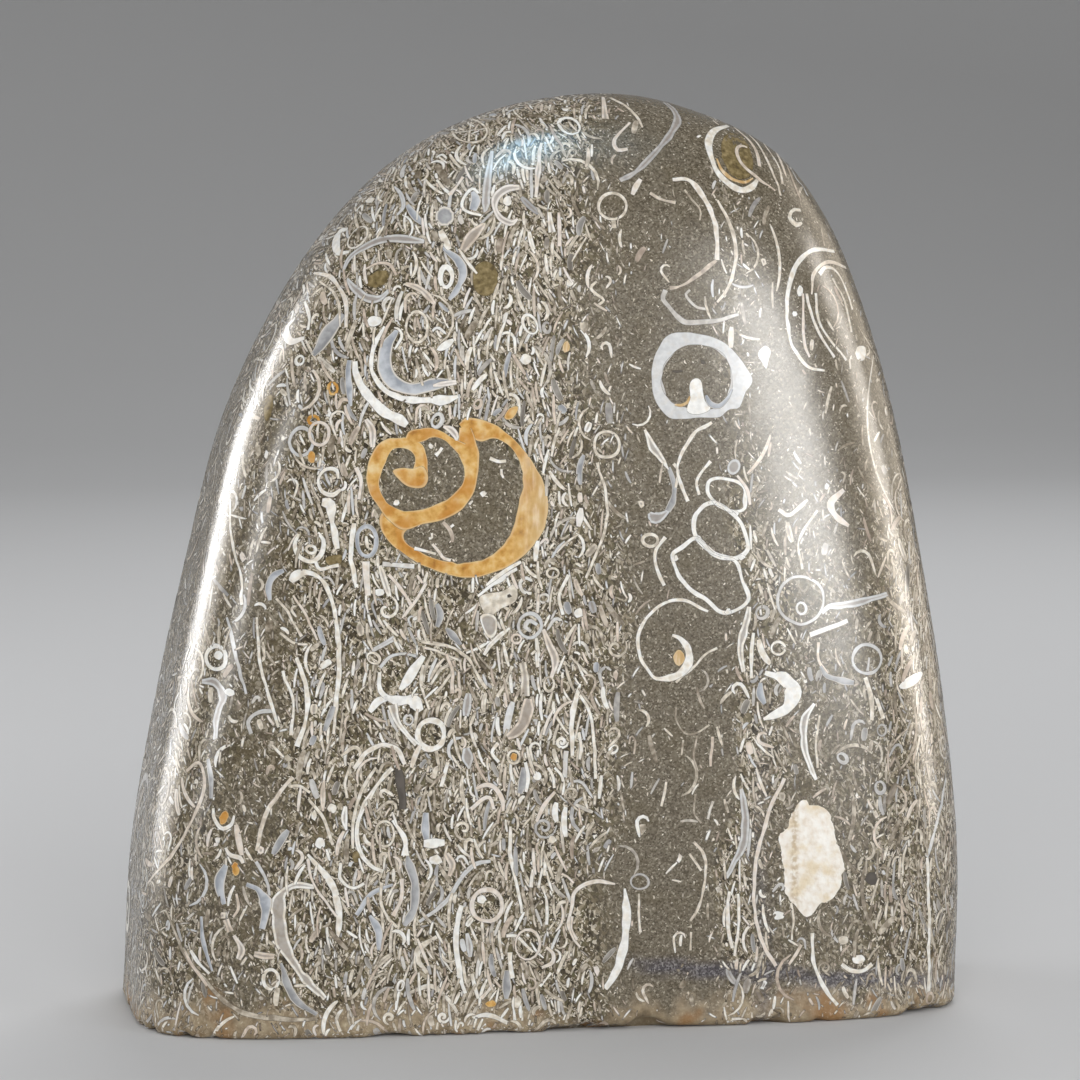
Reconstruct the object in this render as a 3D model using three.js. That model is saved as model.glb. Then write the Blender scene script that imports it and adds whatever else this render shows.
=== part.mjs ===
// A polished freeform of fossil limestone, in millimetres: one solid stone with a domed
// top, a gently bowed front and back, rounded sides and a sawn flat base.
//
// Frame: +Z up, origin in the middle of the base, front face towards -Y.
// The stone is lofted from level rings. The rings are placed by the stone's elevation
// angle, 0 degrees at the base and 90 at the crown, so that they crowd together where
// the dome closes. At every tenth degree the tables below say how far the stone reaches.

import * as THREE from "three";

const HEIGHT = 118;
const CROWN_X = 8.5; // the crown stands right of the middle of the base

// How far the stone reaches from the Z axis at 0, 10, 20 ... 90 degrees.
const LEFT_REACH = [54.0, 52.9, 49.5, 45.3, 41.0, 34.3, 26.2, 16.6, 4.8, -CROWN_X];
const RIGHT_REACH = [53.4, 53.9, 52.0, 49.1, 45.9, 41.8, 37.0, 30.1, 18.8, CROWN_X];
const FRONT_REACH = [24.5, 24.5, 24.2, 23.5, 22.2, 20.3, 17.3, 13.3, 7.6, 0];
const BACK_REACH = [24.5, 24.5, 24.2, 23.4, 22.0, 20.0, 17.1, 13.2, 7.6, 0];

// The level outline is a squircle: 2 is an ellipse, and more is squarer.
const BASE_SQUARENESS = 4.5;
const CROWN_SQUARENESS = 2.3;
const RIGHT_IS_ROUNDER = 0.3; // taken off on the right, added on the left

const BASE_ROUND = 1.1; // radius of the ground edge round the base
const BASE_ROUND_RINGS = 3;
const RINGS = 38;
const SIDES = 96;

const STONE_COLOUR = 0x948a7a;

// A spline through values at equal steps. The end values are continued straight on at
// the base, and mirrored through the crown, so that the dome closes without a point.
function reachSpline(values) {
  const crown = values.at(-1);
  const before = 2 * values[0] - values[1];
  const after = 2 * crown - values.at(-2);
  const points = [before, ...values, after].map((v) => new THREE.Vector2(v, 0));
  const curve = new THREE.SplineCurve(points);
  const steps = points.length - 1;
  return (share) => curve.getPoint((1 + share * (values.length - 1)) / steps).x;
}

const leftAt = reachSpline(LEFT_REACH);
const rightAt = reachSpline(RIGHT_REACH);
const frontAt = reachSpline(FRONT_REACH);
const backAt = reachSpline(BACK_REACH);

// The point on the stone at an elevation (0 at the base, 1 at the crown) and a bearing
// (0 is +X, a quarter turn is +Y), pulled in from the outside by inset.
function surfacePoint(elevation, bearing, inset = 0) {
  const cos = Math.cos(bearing);
  const sin = Math.sin(bearing);
  const middleX = CROWN_X * elevation;
  const halfX = cos > 0 ? rightAt(elevation) - middleX : leftAt(elevation) + middleX;
  const halfY = sin > 0 ? backAt(elevation) : frontAt(elevation);
  const squareness = THREE.MathUtils.lerp(BASE_SQUARENESS, CROWN_SQUARENESS, elevation);
  const power = squareness - RIGHT_IS_ROUNDER * cos;
  const reach = (Math.abs(cos) ** power + Math.abs(sin) ** power) ** (-1 / power);
  const x = middleX + Math.max(halfX - inset, 0) * reach * cos;
  const y = Math.max(halfY - inset, 0) * reach * sin;
  const z = HEIGHT * Math.sin((elevation * Math.PI) / 2);
  return new THREE.Vector3(x, y, z);
}

// Every ring from the edge of the base to just under the crown.
function ringList() {
  const rings = [];
  for (let i = 0; i < BASE_ROUND_RINGS; i++) {
    const turn = (i / BASE_ROUND_RINGS) * (Math.PI / 2);
    const height = BASE_ROUND * (1 - Math.cos(turn));
    rings.push({ height, inset: BASE_ROUND * (1 - Math.sin(turn)) });
  }
  const first = Math.asin(BASE_ROUND / HEIGHT) / (Math.PI / 2);
  for (let i = 0; i < RINGS; i++) {
    const elevation = first + (1 - first) * (i / RINGS);
    rings.push({ height: HEIGHT * Math.sin((elevation * Math.PI) / 2), inset: 0 });
  }
  return rings;
}

function stoneGeometry() {
  const positions = [0, 0, 0];
  const rings = ringList();
  for (const { height, inset } of rings) {
    const elevation = Math.asin(height / HEIGHT) / (Math.PI / 2);
    for (let side = 0; side < SIDES; side++) {
      const bearing = (side / SIDES) * 2 * Math.PI;
      const point = surfacePoint(elevation, bearing, inset);
      positions.push(point.x, point.y, height);
    }
  }
  positions.push(CROWN_X, 0, HEIGHT);

  const baseCentre = 0;
  const crown = positions.length / 3 - 1;
  const corner = (ring, side) => 1 + ring * SIDES + (side % SIDES);
  const triangles = [];
  for (let side = 0; side < SIDES; side++) {
    triangles.push(baseCentre, corner(0, side + 1), corner(0, side));
    for (let ring = 0; ring < rings.length - 1; ring++) {
      const a = corner(ring, side);
      const b = corner(ring, side + 1);
      const c = corner(ring + 1, side + 1);
      const d = corner(ring + 1, side);
      triangles.push(a, b, c, a, c, d);
    }
    const last = rings.length - 1;
    triangles.push(corner(last, side), corner(last, side + 1), crown);
  }

  const geometry = new THREE.BufferGeometry();
  geometry.setAttribute("position", new THREE.Float32BufferAttribute(positions, 3));
  geometry.setIndex(triangles);
  geometry.computeVertexNormals();
  return geometry;
}

const polishedLimestone = new THREE.MeshStandardMaterial({
  color: STONE_COLOUR,
  roughness: 0.18,
  metalness: 0,
});

const stone = new THREE.Mesh(stoneGeometry(), polishedLimestone);
stone.name = "polished_stone";

const freeform = new THREE.Group();
freeform.name = "fossil_freeform";
freeform.add(stone);

export default freeform;
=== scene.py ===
"""A polished freeform of fossil shell limestone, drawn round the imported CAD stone.

The stone is one closed mesh. The shells that the saw cut through are inlaid in it as thin
closed slivers, a few hundredths of a millimetre proud: the large ones are drawn one by one,
and the hash between them is strewn along the bedding, which stands upright across the X axis.
Shapes are worked out in millimetres and made in metres.
"""

import math

import bpy
import numpy as np
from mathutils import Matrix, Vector, noise
from mathutils.bvhtree import BVHTree


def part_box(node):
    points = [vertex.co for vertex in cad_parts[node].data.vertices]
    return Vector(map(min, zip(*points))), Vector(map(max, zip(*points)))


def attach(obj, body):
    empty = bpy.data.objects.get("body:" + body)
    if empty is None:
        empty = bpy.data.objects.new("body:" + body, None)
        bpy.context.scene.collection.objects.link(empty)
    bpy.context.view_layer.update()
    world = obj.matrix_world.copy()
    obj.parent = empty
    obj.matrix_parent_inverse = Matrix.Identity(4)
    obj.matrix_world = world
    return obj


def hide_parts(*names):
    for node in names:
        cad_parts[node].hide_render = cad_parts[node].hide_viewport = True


MM = 0.001
SEED = 20

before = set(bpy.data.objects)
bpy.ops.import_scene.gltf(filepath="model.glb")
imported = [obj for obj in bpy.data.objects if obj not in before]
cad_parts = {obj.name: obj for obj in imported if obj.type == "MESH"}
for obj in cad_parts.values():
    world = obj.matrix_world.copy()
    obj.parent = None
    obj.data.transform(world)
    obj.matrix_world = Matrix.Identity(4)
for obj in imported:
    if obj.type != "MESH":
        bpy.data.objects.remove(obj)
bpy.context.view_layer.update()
stone_low, stone_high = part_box("polished_stone")
rng = np.random.default_rng(SEED)

# ---------------------------------------------------------------- the stone's own shape

HEIGHT = (stone_high.z - stone_low.z) / MM
CROWN_X = 8.5  # the crown stands right of the middle of the base

# How far the stone reaches from the Z axis at elevations of 0, 10, 20 ... 90 degrees.
LEFT_REACH = [54.0, 52.9, 49.5, 45.3, 41.0, 34.3, 26.2, 16.6, 4.8, -CROWN_X]
RIGHT_REACH = [53.4, 53.9, 52.0, 49.1, 45.9, 41.8, 37.0, 30.1, 18.8, CROWN_X]
FRONT_REACH = [24.5, 24.5, 24.2, 23.5, 22.2, 20.3, 17.3, 13.3, 7.6, 0]
BACK_REACH = [24.5, 24.5, 24.2, 23.4, 22.0, 20.0, 17.1, 13.2, 7.6, 0]

BASE_SQUARENESS = 4.5  # powers of the outline's superellipse: 2 is round, and more is squarer
CROWN_SQUARENESS = 2.3
RIGHT_IS_ROUNDER = 0.3
BASE_ROUND = 1.1  # the radius of the ground edge of the base, in mm

SIDES = 420  # corners in each ring
RINGS = 196
EDGE_RINGS = 14  # close rings round the broken edge of the base
EDGE_TOP = 4.0  # up to this height in mm
UNDERSIDE = [0.45, 0.8, 0.93]  # rings of the sawn underside, as shares of its outline

DEEPEST_CHIP = 1.3  # of the broken edge, in mm
CHIP_TOP = 3  # the height at which the side is whole again
SPALL_START, SPALL_END, SPALL_DEPTH = -3.5, 22, 0.55  # a long flake off the front edge, along X
CRUMBLE_TOP, CRUMBLE_MOST = 2.2, 0.02  # the roughness of the broken edge
SWELL, SINK = 0.08, 0.12  # the polish: how uneven it is, and how far inside the CAD stone
NOISE_GAIN = 1.6  # Blender's noise seldom goes beyond 0.6


def curve_between(a, b, c, d, t):
    """A smooth curve from b to c as t goes from 0 to 1, where a comes before and d after."""
    bend = 2 * a - 5 * b + 4 * c - d
    return 0.5 * (2 * b + (c - a) * t + bend * t**2 + (3 * b - a - 3 * c + d) * t**3)


def rising(value, start, span):
    """0 up to a start and 1 from a span beyond it; with a span below 0 it falls instead."""
    return np.clip((value - start) / span, 0, 1)


def reach_at(values, share):
    """A smooth curve through values at equal steps, read at shares of 0 to 1."""
    knots = np.array([2 * values[0] - values[1], *values, 2 * values[-1] - values[-2]])
    place = np.clip(share, 0, 1) * (len(values) - 1)
    left = np.minimum(place.astype(int), len(values) - 2)
    return curve_between(*(knots[left + k] for k in range(4)), place - left)


def outside(elevation, bearing, inset):
    """Points (N, 3) some mm inside the outline, at elevations of 0 to 1 and bearings from +X."""
    cos, sin = np.cos(bearing), np.sin(bearing)
    middle = CROWN_X * elevation
    right = reach_at(RIGHT_REACH, elevation) - middle
    left = reach_at(LEFT_REACH, elevation) + middle
    half_x = np.where(cos > 0, right, left)
    half_y = np.where(sin > 0, reach_at(BACK_REACH, elevation), reach_at(FRONT_REACH, elevation))
    squareness = BASE_SQUARENESS + (CROWN_SQUARENESS - BASE_SQUARENESS) * elevation
    power = squareness - RIGHT_IS_ROUNDER * cos
    reach = (np.abs(cos) ** power + np.abs(sin) ** power) ** (-1 / power)
    x = middle + np.maximum(half_x - inset, 0) * reach * cos
    y = np.maximum(half_y - inset, 0) * reach * sin
    return np.stack([x, y, HEIGHT * np.sin(elevation * math.pi / 2)], -1)


def unit(vectors):
    """The vectors at a length of 1."""
    return vectors / np.maximum(np.linalg.norm(vectors, axis=-1, keepdims=True), 1e-9)


def elevation_of(height):
    """The share of the way up at which outside() reaches a height."""
    return np.arcsin(np.clip(height / HEIGHT, 0, 1)) / (math.pi / 2)


def noise_at(points, size, seed):
    """Smooth noise of about -1 to 1 at points (N, 3), with lumps of about size mm."""
    shift = Vector((seed * 17.3, seed * 5.1, seed * 9.7))
    return np.array([noise.noise(Vector(p) / size + shift) for p in points.tolist()]) * NOISE_GAIN


def ring_levels():
    """Heights and insets of the side's rings: close over the ground edge, then wider."""
    edge = EDGE_TOP * (np.arange(EDGE_RINGS) / EDGE_RINGS) ** 1.4
    first = elevation_of(EDGE_TOP)
    shares = first + (1 - first) * np.arange(RINGS) / RINGS
    heights = np.concatenate([edge, HEIGHT * np.sin(shares * math.pi / 2)])
    rounded = np.minimum(heights, BASE_ROUND)
    return heights, BASE_ROUND - np.sqrt(2 * BASE_ROUND * rounded - rounded**2)


def chip_depth(rim):
    """How deep the base's edge is broken away along its rim of points, in mm."""
    small = np.maximum(noise_at(rim, 2.2, 1) - 0.30, 0) * 1.1
    wide = np.maximum(noise_at(rim, 9.0, 2) - 0.25, 0) * 1.3
    x, front = rim[:, 0], rim[:, 1] < 0
    spall = front * SPALL_DEPTH * rising(x, SPALL_START, 0.6) * rising(x, SPALL_END, -SPALL_END)
    return np.minimum(small + wide + spall, DEEPEST_CHIP)


def worn(side, normals):
    """The side's points with the base's edge broken away and the polish a little uneven."""
    height = side[:, 2]
    chips = np.tile(chip_depth(side[:SIDES]), len(side) // SIDES)
    broken = chips * np.clip(1 - height / CHIP_TOP, 0, 1) ** 1.6
    crumble = np.zeros(len(side))
    low = height < EDGE_TOP
    crumble[low] = noise_at(side[low], 0.8, 3) * np.clip(1 - height[low] / CRUMBLE_TOP, 0, 1) * 0.1
    swell = (noise_at(side, 24, 4) * SWELL - SINK) * rising(height, 0, 6)
    level = unit(normals * [1, 1, 0])
    out = np.minimum(crumble, CRUMBLE_MOST) + swell
    moved = side - level * (0.8 * broken)[:, None] + normals * out[:, None]
    moved[:, 2] = np.maximum(moved[:, 2], 0) + broken
    return moved


def stone_shape():
    """The stone's points and triangles. The points of the side come first, ring by ring."""
    bearing = np.arange(SIDES) / SIDES * 2 * math.pi
    heights, insets = ring_levels()
    levels = [outside(np.full(SIDES, elevation_of(h)), bearing, inset) for h, inset in zip(heights, insets)]
    under = [levels[0] * [share, share, 0] for share in reversed(UNDERSIDE)]
    points = np.concatenate([*levels, *under, [[0, 0, 0]], [[CROWN_X, 0, HEIGHT]]])
    triangles = stone_triangles(len(heights), len(points))
    normals = corner_normals(points, triangles)
    side = len(heights) * SIDES
    points[:side] = worn(points[:side], normals[:side])
    points[-1, 2] = points[side - SIDES:side, 2].max()
    return points, triangles


def stone_triangles(ring_count, point_count):
    """The stone's triangles: its underside, its side and the fans at its base and crown."""
    around = np.arange(SIDES)
    after = (around + 1) % SIDES
    triangles = []

    def strip(low, high):
        """Two triangles for each side between two rings that start at points low and high."""
        triangles.append(np.stack([low + around, low + after, high + after], -1))
        triangles.append(np.stack([low + around, high + after, high + around], -1))

    under = [(ring_count + k) * SIDES for k in range(len(UNDERSIDE))]
    starts = [*reversed(under), *(ring * SIDES for ring in range(ring_count))]
    for low, high in zip(starts, starts[1:]):
        strip(low, high)
    base, crown = point_count - 2, point_count - 1
    triangles.append(np.stack([np.full(SIDES, base), starts[0] + after, starts[0] + around], -1))
    triangles.append(np.stack([starts[-1] + around, starts[-1] + after, np.full(SIDES, crown)], -1))
    return np.concatenate(triangles)


def corner_normals(points, triangles):
    """The smooth normal at each point."""
    a, b, c = (points[triangles[:, k]] for k in range(3))
    face = np.cross(b - a, c - a)
    normals = np.zeros_like(points)
    for k in range(3):
        np.add.at(normals, triangles[:, k], face)
    return normals / np.maximum(np.linalg.norm(normals, axis=1, keepdims=True), 1e-12)


# ---------------------------------------------------------------- the view of the stone

AZIMUTH, ELEVATION = math.radians(-10), math.radians(5)
DISTANCE = 600  # from the camera to the middle of its view, in mm
VIEW_WIDTH = 140.4  # what the picture takes in at the stone, in mm
VIEW_MIDDLE = np.array([0, 0, 60.1])
SENSOR = 36

TO_EYE = np.array([math.sin(AZIMUTH) * math.cos(ELEVATION),
                   -math.cos(AZIMUTH) * math.cos(ELEVATION), math.sin(ELEVATION)])
VIEW_RIGHT = np.array([math.cos(AZIMUTH), math.sin(AZIMUTH), 0])
VIEW_UP = np.cross(TO_EYE, VIEW_RIGHT)
EYE = VIEW_MIDDLE + TO_EYE * DISTANCE


class Surface:
    """The stone's outside, to lay fossils on: all in millimetres."""

    def __init__(self, points, triangles):
        self.points, self.triangles = points, triangles
        self.normals = corner_normals(points, triangles)
        self.tree = BVHTree.FromPolygons(points.tolist(), triangles.tolist())

    def normal_at(self, places, faces):
        """The smooth normals at places (N, 3) on faces (N,)."""
        corners = self.triangles[faces]
        a, b, c = (self.points[corners[:, k]] for k in range(3))
        whole = np.cross(b - a, c - a)
        size = np.maximum((whole * whole).sum(1), 1e-18)
        share_b = (np.cross(places - a, c - a) * whole).sum(1) / size
        share_c = (np.cross(b - a, places - a) * whole).sum(1) / size
        shares = np.stack([1 - share_b - share_c, share_b, share_c], -1)
        normal = (self.normals[corners] * shares[:, :, None]).sum(1)
        return normal / np.linalg.norm(normal, axis=1, keepdims=True)

    def drop(self, points):
        """The nearest places on the stone to points, and its normals there, both (..., 3)."""
        flat = points.reshape(-1, 3).tolist()
        found = [self.tree.find_nearest(p) for p in flat]
        places = np.array([f[0][:] for f in found])
        normals = self.normal_at(places, np.array([f[2] for f in found]))
        return places.reshape(points.shape), normals.reshape(points.shape)

    def seen(self, marks):
        """Where marks in the view, (N, 2) in mm right of and above its middle, fall on it."""
        targets = VIEW_MIDDLE + marks[:, :1] * VIEW_RIGHT + marks[:, 1:2] * VIEW_UP
        eye = Vector(EYE)
        hits = []
        for target in targets:
            hit = self.tree.ray_cast(eye, Vector(target) - eye)[0]
            hits.append(target if hit is None else hit[:])
        return self.drop(np.array(hits))


# ---------------------------------------------------------------- room on the surface

class Room:
    """Remembers which parts of the surface are taken, in small cubes of a space round it."""

    CUBE = 0.16
    LOW = np.array([-58.0, -28.0, -2.0])
    SIZE = (725, 350, 775)  # in cubes

    def __init__(self):
        self.taken = np.zeros(math.prod(self.SIZE), bool)

    def cubes(self, points):
        """The number of the cube that each point lies in."""
        at = ((points - self.LOW) / self.CUBE).astype(int)
        return (at[..., 0] * self.SIZE[1] + at[..., 1]) * self.SIZE[2] + at[..., 2]

    def take(self, points):
        """Marks the cubes that points lie in as taken."""
        self.taken[self.cubes(points).ravel()] = True

    def fit(self, samples, most):
        """Takes the samples (M, S, 3) one after another where at most a share is taken."""
        kept = []
        for index, cubes in enumerate(self.cubes(samples)):
            if self.taken[cubes].mean() <= most:
                self.taken[cubes] = True
                kept.append(index)
        return np.array(kept, int)


# ---------------------------------------------------------------- inlaid shell as mesh

PROUD = (0.012, 0.034)  # how far inlays stand out of the stone, least and most
SHADE_RIM = 0.05  # painted shade: the width of a dark rim round each piece of shell, in mm
LANE = 0.8  # a wide band has a row of corners at least this often across, in mm
BAND_KEEL, BAND_KEEL_SHARE = 0.06, 0.25  # how deep bodies go: some mm, and a share of their width
PATCH_KEEL, PATCH_KEEL_SHARE = 0.1, 0.3
MAP_MARGIN = 0.1  # round each body's part of the map


def sideways(lines, normals, closed):
    """The direction to the left of lines (M, N, 3) that lie on the stone."""
    if closed:
        ahead = np.roll(lines, -1, 1) - np.roll(lines, 1, 1)
    else:
        ahead = np.gradient(lines, axis=1)
    return unit(np.cross(normals, ahead))


class Inlay:
    """Gathers thin closed bodies laid in the stone, and makes them one piece."""

    def __init__(self, surface):
        self.surface = surface
        self.points, self.normals, self.faces, self.spots = [], [], [], []
        self.across, self.rind, self.tone, self.tint, self.body = [], [], [], [], []
        self.corners = 0
        self.bodies = 0

    def add(self, points, normals, across, rind, spots, tone, tint, faces):
        """Adds M alike bodies: corners (M, K, 3) and normals, across (K,), shares of painted shade
        rim (M, K), map spots (K, 2), a tone and a tint for each body, and the faces of one body."""
        many, corners = points.shape[:2]
        starts = self.corners + np.arange(many) * corners
        self.faces.append((starts[:, None, None] + faces).reshape(-1, 3))
        self.points.append(points.reshape(-1, 3))
        self.normals.append(normals.reshape(-1, 3))
        self.across.append(np.tile(across, many))
        self.rind.append(rind.ravel())
        self.spots.append(np.tile(spots, (many, 1)))
        self.tone.append(np.repeat(tone, corners))
        self.tint.append(np.repeat(tint, corners))
        self.body.append(np.repeat(self.bodies + np.arange(many), corners))
        self.corners += many * corners
        self.bodies += many

    def bands(self, lines, normals, widths, tone, tint, closed=False):
        """Shell cut edge on: lines (M, N, 3) on the stone, widths (M, N), one tone each."""
        lanes = max(1, math.ceil(widths.max() / LANE))
        left = sideways(lines, normals, closed)
        # each band is widened by its rim of painted shade on both sides
        offsets = (widths + 2 * SHADE_RIM)[:, :, None] * (np.arange(lanes + 1) / lanes - 0.5)
        tops = lines[:, :, None] + left[:, :, None] * offsets[..., None]
        top_normals = np.repeat(normals[:, :, None], lanes + 1, 2)
        if lanes > 1:
            tops, top_normals = self.surface.drop(tops)
        self.rows(tops, top_normals, tone, tint, closed)

    def rows(self, tops, normals, tone, tint, closed):
        """Closed bodies under tops (M, N, lanes + 1, 3): rows of corners from right to left."""
        many, steps, corners = tops.shape[:3]
        widths = np.linalg.norm(tops[:, :, -1] - tops[:, :, 0], axis=-1)
        under = unit(normals.mean(2))
        keels = tops.mean(2) - under * (BAND_KEEL + BAND_KEEL_SHARE * widths)[..., None]
        tops = tops + normals * proud(tint)[:, None, None, None]
        points = np.concatenate([tops, keels[:, :, None]], 2).reshape(many, -1, 3)
        all_normals = np.concatenate([normals, under[:, :, None]], 2).reshape(many, -1, 3)
        across = np.tile([*np.linspace(0, 1, corners), 0.5], steps)
        along = np.repeat(np.arange(steps) / (steps if closed else steps - 1), corners + 1)
        spots = round_spots(along, 0.25 + 0.25 * across) if closed else np.stack([along, across], -1)
        # how much of each body's edge gets painted shade
        rind = np.repeat(rind_share(widths / 2), corners + 1, 1)
        faces = band_faces(steps, corners - 1, closed)
        self.add(points, all_normals, across, rind, spots, tone, tint, faces)

    def splinters(self, lines, normals, widths, tone, tint):
        """Short slivers of shell along lines (M, 3, 3), in few triangles."""
        # each splinter is widened by its rim of painted shade
        half = sideways(lines, normals, False) * (widths / 2 + SHADE_RIM)[..., None]
        rims = np.concatenate([lines - half, (lines + half)[:, ::-1]], 1)
        self.patches(rims, tone, tint, half_width=widths.mean(1) / 2 + SHADE_RIM)

    def patches(self, rims, tone, tint, shares=(1.0,), half_width=None):
        """Shell cut face on: outlines (M, N, 3), filled by smaller rings down to a middle."""
        steps = rims.shape[1]
        middle = rims.mean(1, keepdims=True)
        rings = [middle + (rims - middle) * share for share in shares]
        tops, normals = self.surface.drop(np.concatenate([*rings, middle], 1))
        tops = tops + normals * proud(tint)[:, None, None]
        reach = np.linalg.norm(rims - middle, axis=2).mean(1)
        keel = tops[:, -1:] - normals[:, -1:] * (PATCH_KEEL + PATCH_KEEL_SHARE * reach)[:, None, None]
        points = np.concatenate([tops, keel], 1)
        normals = np.concatenate([normals, normals[:, -1:]], 1)
        share = np.append(np.repeat(shares, steps), [0, 0])
        turn = np.append(np.tile(np.arange(steps) / steps, len(shares)), [0, 0])
        spots = round_spots(turn, 0.5 * share)
        faces = patch_faces(steps, len(shares))
        half = reach if half_width is None else half_width
        # how much of each patch's edge gets painted shade
        rind = np.repeat(rind_share(half)[:, None], len(share), 1)
        self.add(points, normals, 0.5 - 0.5 * share, rind, spots, tone, tint, faces)

    def piece(self, name, material):
        """The finished piece, in metres, shaded with the stone's own normals."""
        mesh = bpy.data.meshes.new(name)
        faces = np.concatenate(self.faces)
        mesh.from_pydata(np.concatenate(self.points) * MM, [], faces)
        # each piece's share of painted shade along its edges goes with the mesh as a field
        for field in ("across", "rind", "tone", "tint"):
            values = np.concatenate(getattr(self, field)).astype(np.float32)
            mesh.attributes.new(field, "FLOAT", "POINT").data.foreach_set("value", values)
        mesh.shade_smooth()
        mesh.normals_split_custom_set_from_vertices(np.concatenate(self.normals))
        corners = faces.ravel()
        spots = self.map_spots()[corners].astype(np.float32)
        mesh.uv_layers.new(name="OFBake").uv.foreach_set("vector", spots.ravel())
        mesh.materials.append(material)
        return add_piece(name, mesh)

    def map_spots(self):
        """A square of the map for each body, with a margin round it."""
        grid = math.ceil(math.sqrt(self.bodies))
        body = np.concatenate(self.body)
        square = np.stack([body % grid, body // grid], -1)
        return (square + MAP_MARGIN + (1 - 2 * MAP_MARGIN) * np.concatenate(self.spots)) / grid


def proud(tint):
    """How far bodies stand out of the stone: by their tint, so that crossing ones differ."""
    return PROUD[0] + (PROUD[1] - PROUD[0]) * tint


def rind_share(half_width):
    """What share of half a piece's width its rim of painted shade takes."""
    return np.clip(SHADE_RIM / np.maximum(half_width, 1e-6), 0, 0.5)


def round_spots(turn, reach):
    """Map spots round the middle of a square, at turns of 0 to 1."""
    angle = 2 * math.pi * turn
    return np.stack([0.5 + reach * np.cos(angle), 0.5 + reach * np.sin(angle)], -1)


def band_faces(steps, lanes, closed):
    """Triangles of a band whose rows hold lanes + 1 top corners and one keel corner."""
    row = lanes + 2
    keel = lanes + 1
    quads = []
    for step in range(steps if closed else steps - 1):
        here, there = step * row, (step + 1) % steps * row
        for lane in range(lanes):
            quads.append((here + lane, there + lane, there + lane + 1, here + lane + 1))
        quads.append((here, here + keel, there + keel, there))
        quads.append((here + lanes, there + lanes, there + keel, here + keel))
    faces = [corners for a, b, c, d in quads for corners in ((a, b, c), (a, c, d))]
    if not closed:
        last = (steps - 1) * row
        for lane in range(lanes):
            faces.append((lane, lane + 1, keel))
            faces.append((last + lane + 1, last + lane, last + keel))
    return np.array(faces)


def patch_faces(steps, rings):
    """Triangles of a patch: rings of steps corners, then its middle, then its keel."""
    middle, keel = rings * steps, rings * steps + 1
    faces = []
    for step in range(steps):
        after = (step + 1) % steps
        faces.append((after, step, keel))
        for ring in range(rings - 1):
            a, b = ring * steps + step, ring * steps + after
            faces += [(a, b, b + steps), (a, b + steps, a + steps)]
        faces.append(((rings - 1) * steps + step, (rings - 1) * steps + after, middle))
    return np.array(faces)


def add_piece(name, mesh):
    """A piece of the stone, on its one body."""
    piece = bpy.data.objects.new(name, mesh)
    bpy.context.scene.collection.objects.link(piece)
    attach(piece, "root")
    return piece


# ---------------------------------------------------------------- the stone, and what is laid in it

surface = Surface(*stone_shape())
room = Room()
shell, grey, amber, chalk = (Inlay(surface) for _ in range(4))
shell_hash, grey_hash, fine_hash, splinter_hash, small_hash, crumbs = (Inlay(surface) for _ in range(6))

# ---------------------------------------------------------------- drawing one fossil

STEP = 0.4  # spacing of the corners along a drawn line, in mm
FINE = 16  # points that a curve is first worked out with, between two marks
COVER_STEP, CLEAR_STEP = 0.14, 0.18  # spacing of the samples that take up room, in mm


def smooth_line(marks, closed, step=STEP, count=None):
    """A curve through marks (N, k), with points about every step mm, or in count steps."""
    marks = np.array(marks, float)
    if closed:
        knots = np.concatenate([marks[-1:], marks, marks[:2]])
    else:
        knots = np.concatenate([2 * marks[:1] - marks[1:2], marks, 2 * marks[-1:] - marks[-2:-1]])
    t = (np.arange(FINE) / FINE)[:, None]
    spans = [curve_between(*four, t) for four in zip(knots, knots[1:], knots[2:], knots[3:])]
    fine = np.concatenate([*spans, knots[-2:-1]])
    run = np.append(0, np.cumsum(np.linalg.norm(np.diff(fine[:, :2], axis=0), axis=1)))
    count = count or max(4, round(run[-1] / step))
    at = np.linspace(0, run[-1], count + 1)[:count + (not closed)]
    return np.stack([np.interp(at, run, column) for column in fine.T], -1)


SHAKE = 1.1  # spacing of the small shakes along a drawn line, in mm
WANDER = 0.05  # how far they move it, in mm
SWELLING = 0.17  # how much they widen or narrow it, as a share


def unsteady(path, closed):
    """A drawn line of (right, up, width) with the shakes and swellings of a real shell."""
    steps = len(path)
    knots = max(3, round(steps * STEP / SHAKE))
    shakes = rng.normal(size=(knots, 3))
    if closed:
        shakes[-1] = shakes[0]
    at = np.linspace(0, knots - 1, steps + closed)[:steps]
    shake = np.stack([np.interp(at, np.arange(knots), column) for column in shakes.T], -1)
    marks = path[:, :2] + WANDER * shake[:, :2]
    return np.hstack([marks, path[:, 2:] * (1 + SWELLING * shake[:, 2:])])


def cover(lines, normals, widths, closed):
    """Samples (M, S, 3) all over bands, close enough together to fill the room's cubes."""
    left = sideways(lines, normals, closed)
    ends = np.roll(lines, -1, 1) if closed else lines[:, 1:]
    starts = lines if closed else lines[:, :-1]
    steps = max(1, math.ceil(np.linalg.norm(ends - starts, axis=2).max() / COVER_STEP))
    rows = max(1, math.ceil(widths.max() / COVER_STEP))
    ways = (np.arange(steps) / steps)[:, None, None]
    span = slice(None) if closed else slice(-1)
    along = starts[:, :, None, None] + (ends - starts)[:, :, None, None] * ways
    shares = (np.arange(rows + 1) / rows - 0.5)[:, None]
    aside = (left * widths[:, :, None])[:, span, None, None] * shares
    return (along + aside).reshape(len(lines), -1, 3)


# Tones: of shell from brown to white, of grey shell, and of the amber calcite.
TAN, CREAM, PALE, WHITE = 0.35, 0.6, 0.8, 0.98
DARK, GREY, BLUE = 0.05, 0.72, 0.95
OLIVE, HONEY, GOLD = 0.0, 0.3, 0.9

# Tints: cool white, two with a dull core of which one is pinkish, and solid. ANY is by chance.
# A tint also says how proud a piece is, so pieces that cross have different ones.
COOL, HOLLOW, SOLID, PINKISH, ANY = 0.02, 0.3, 0.5, 0.9, None

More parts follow.
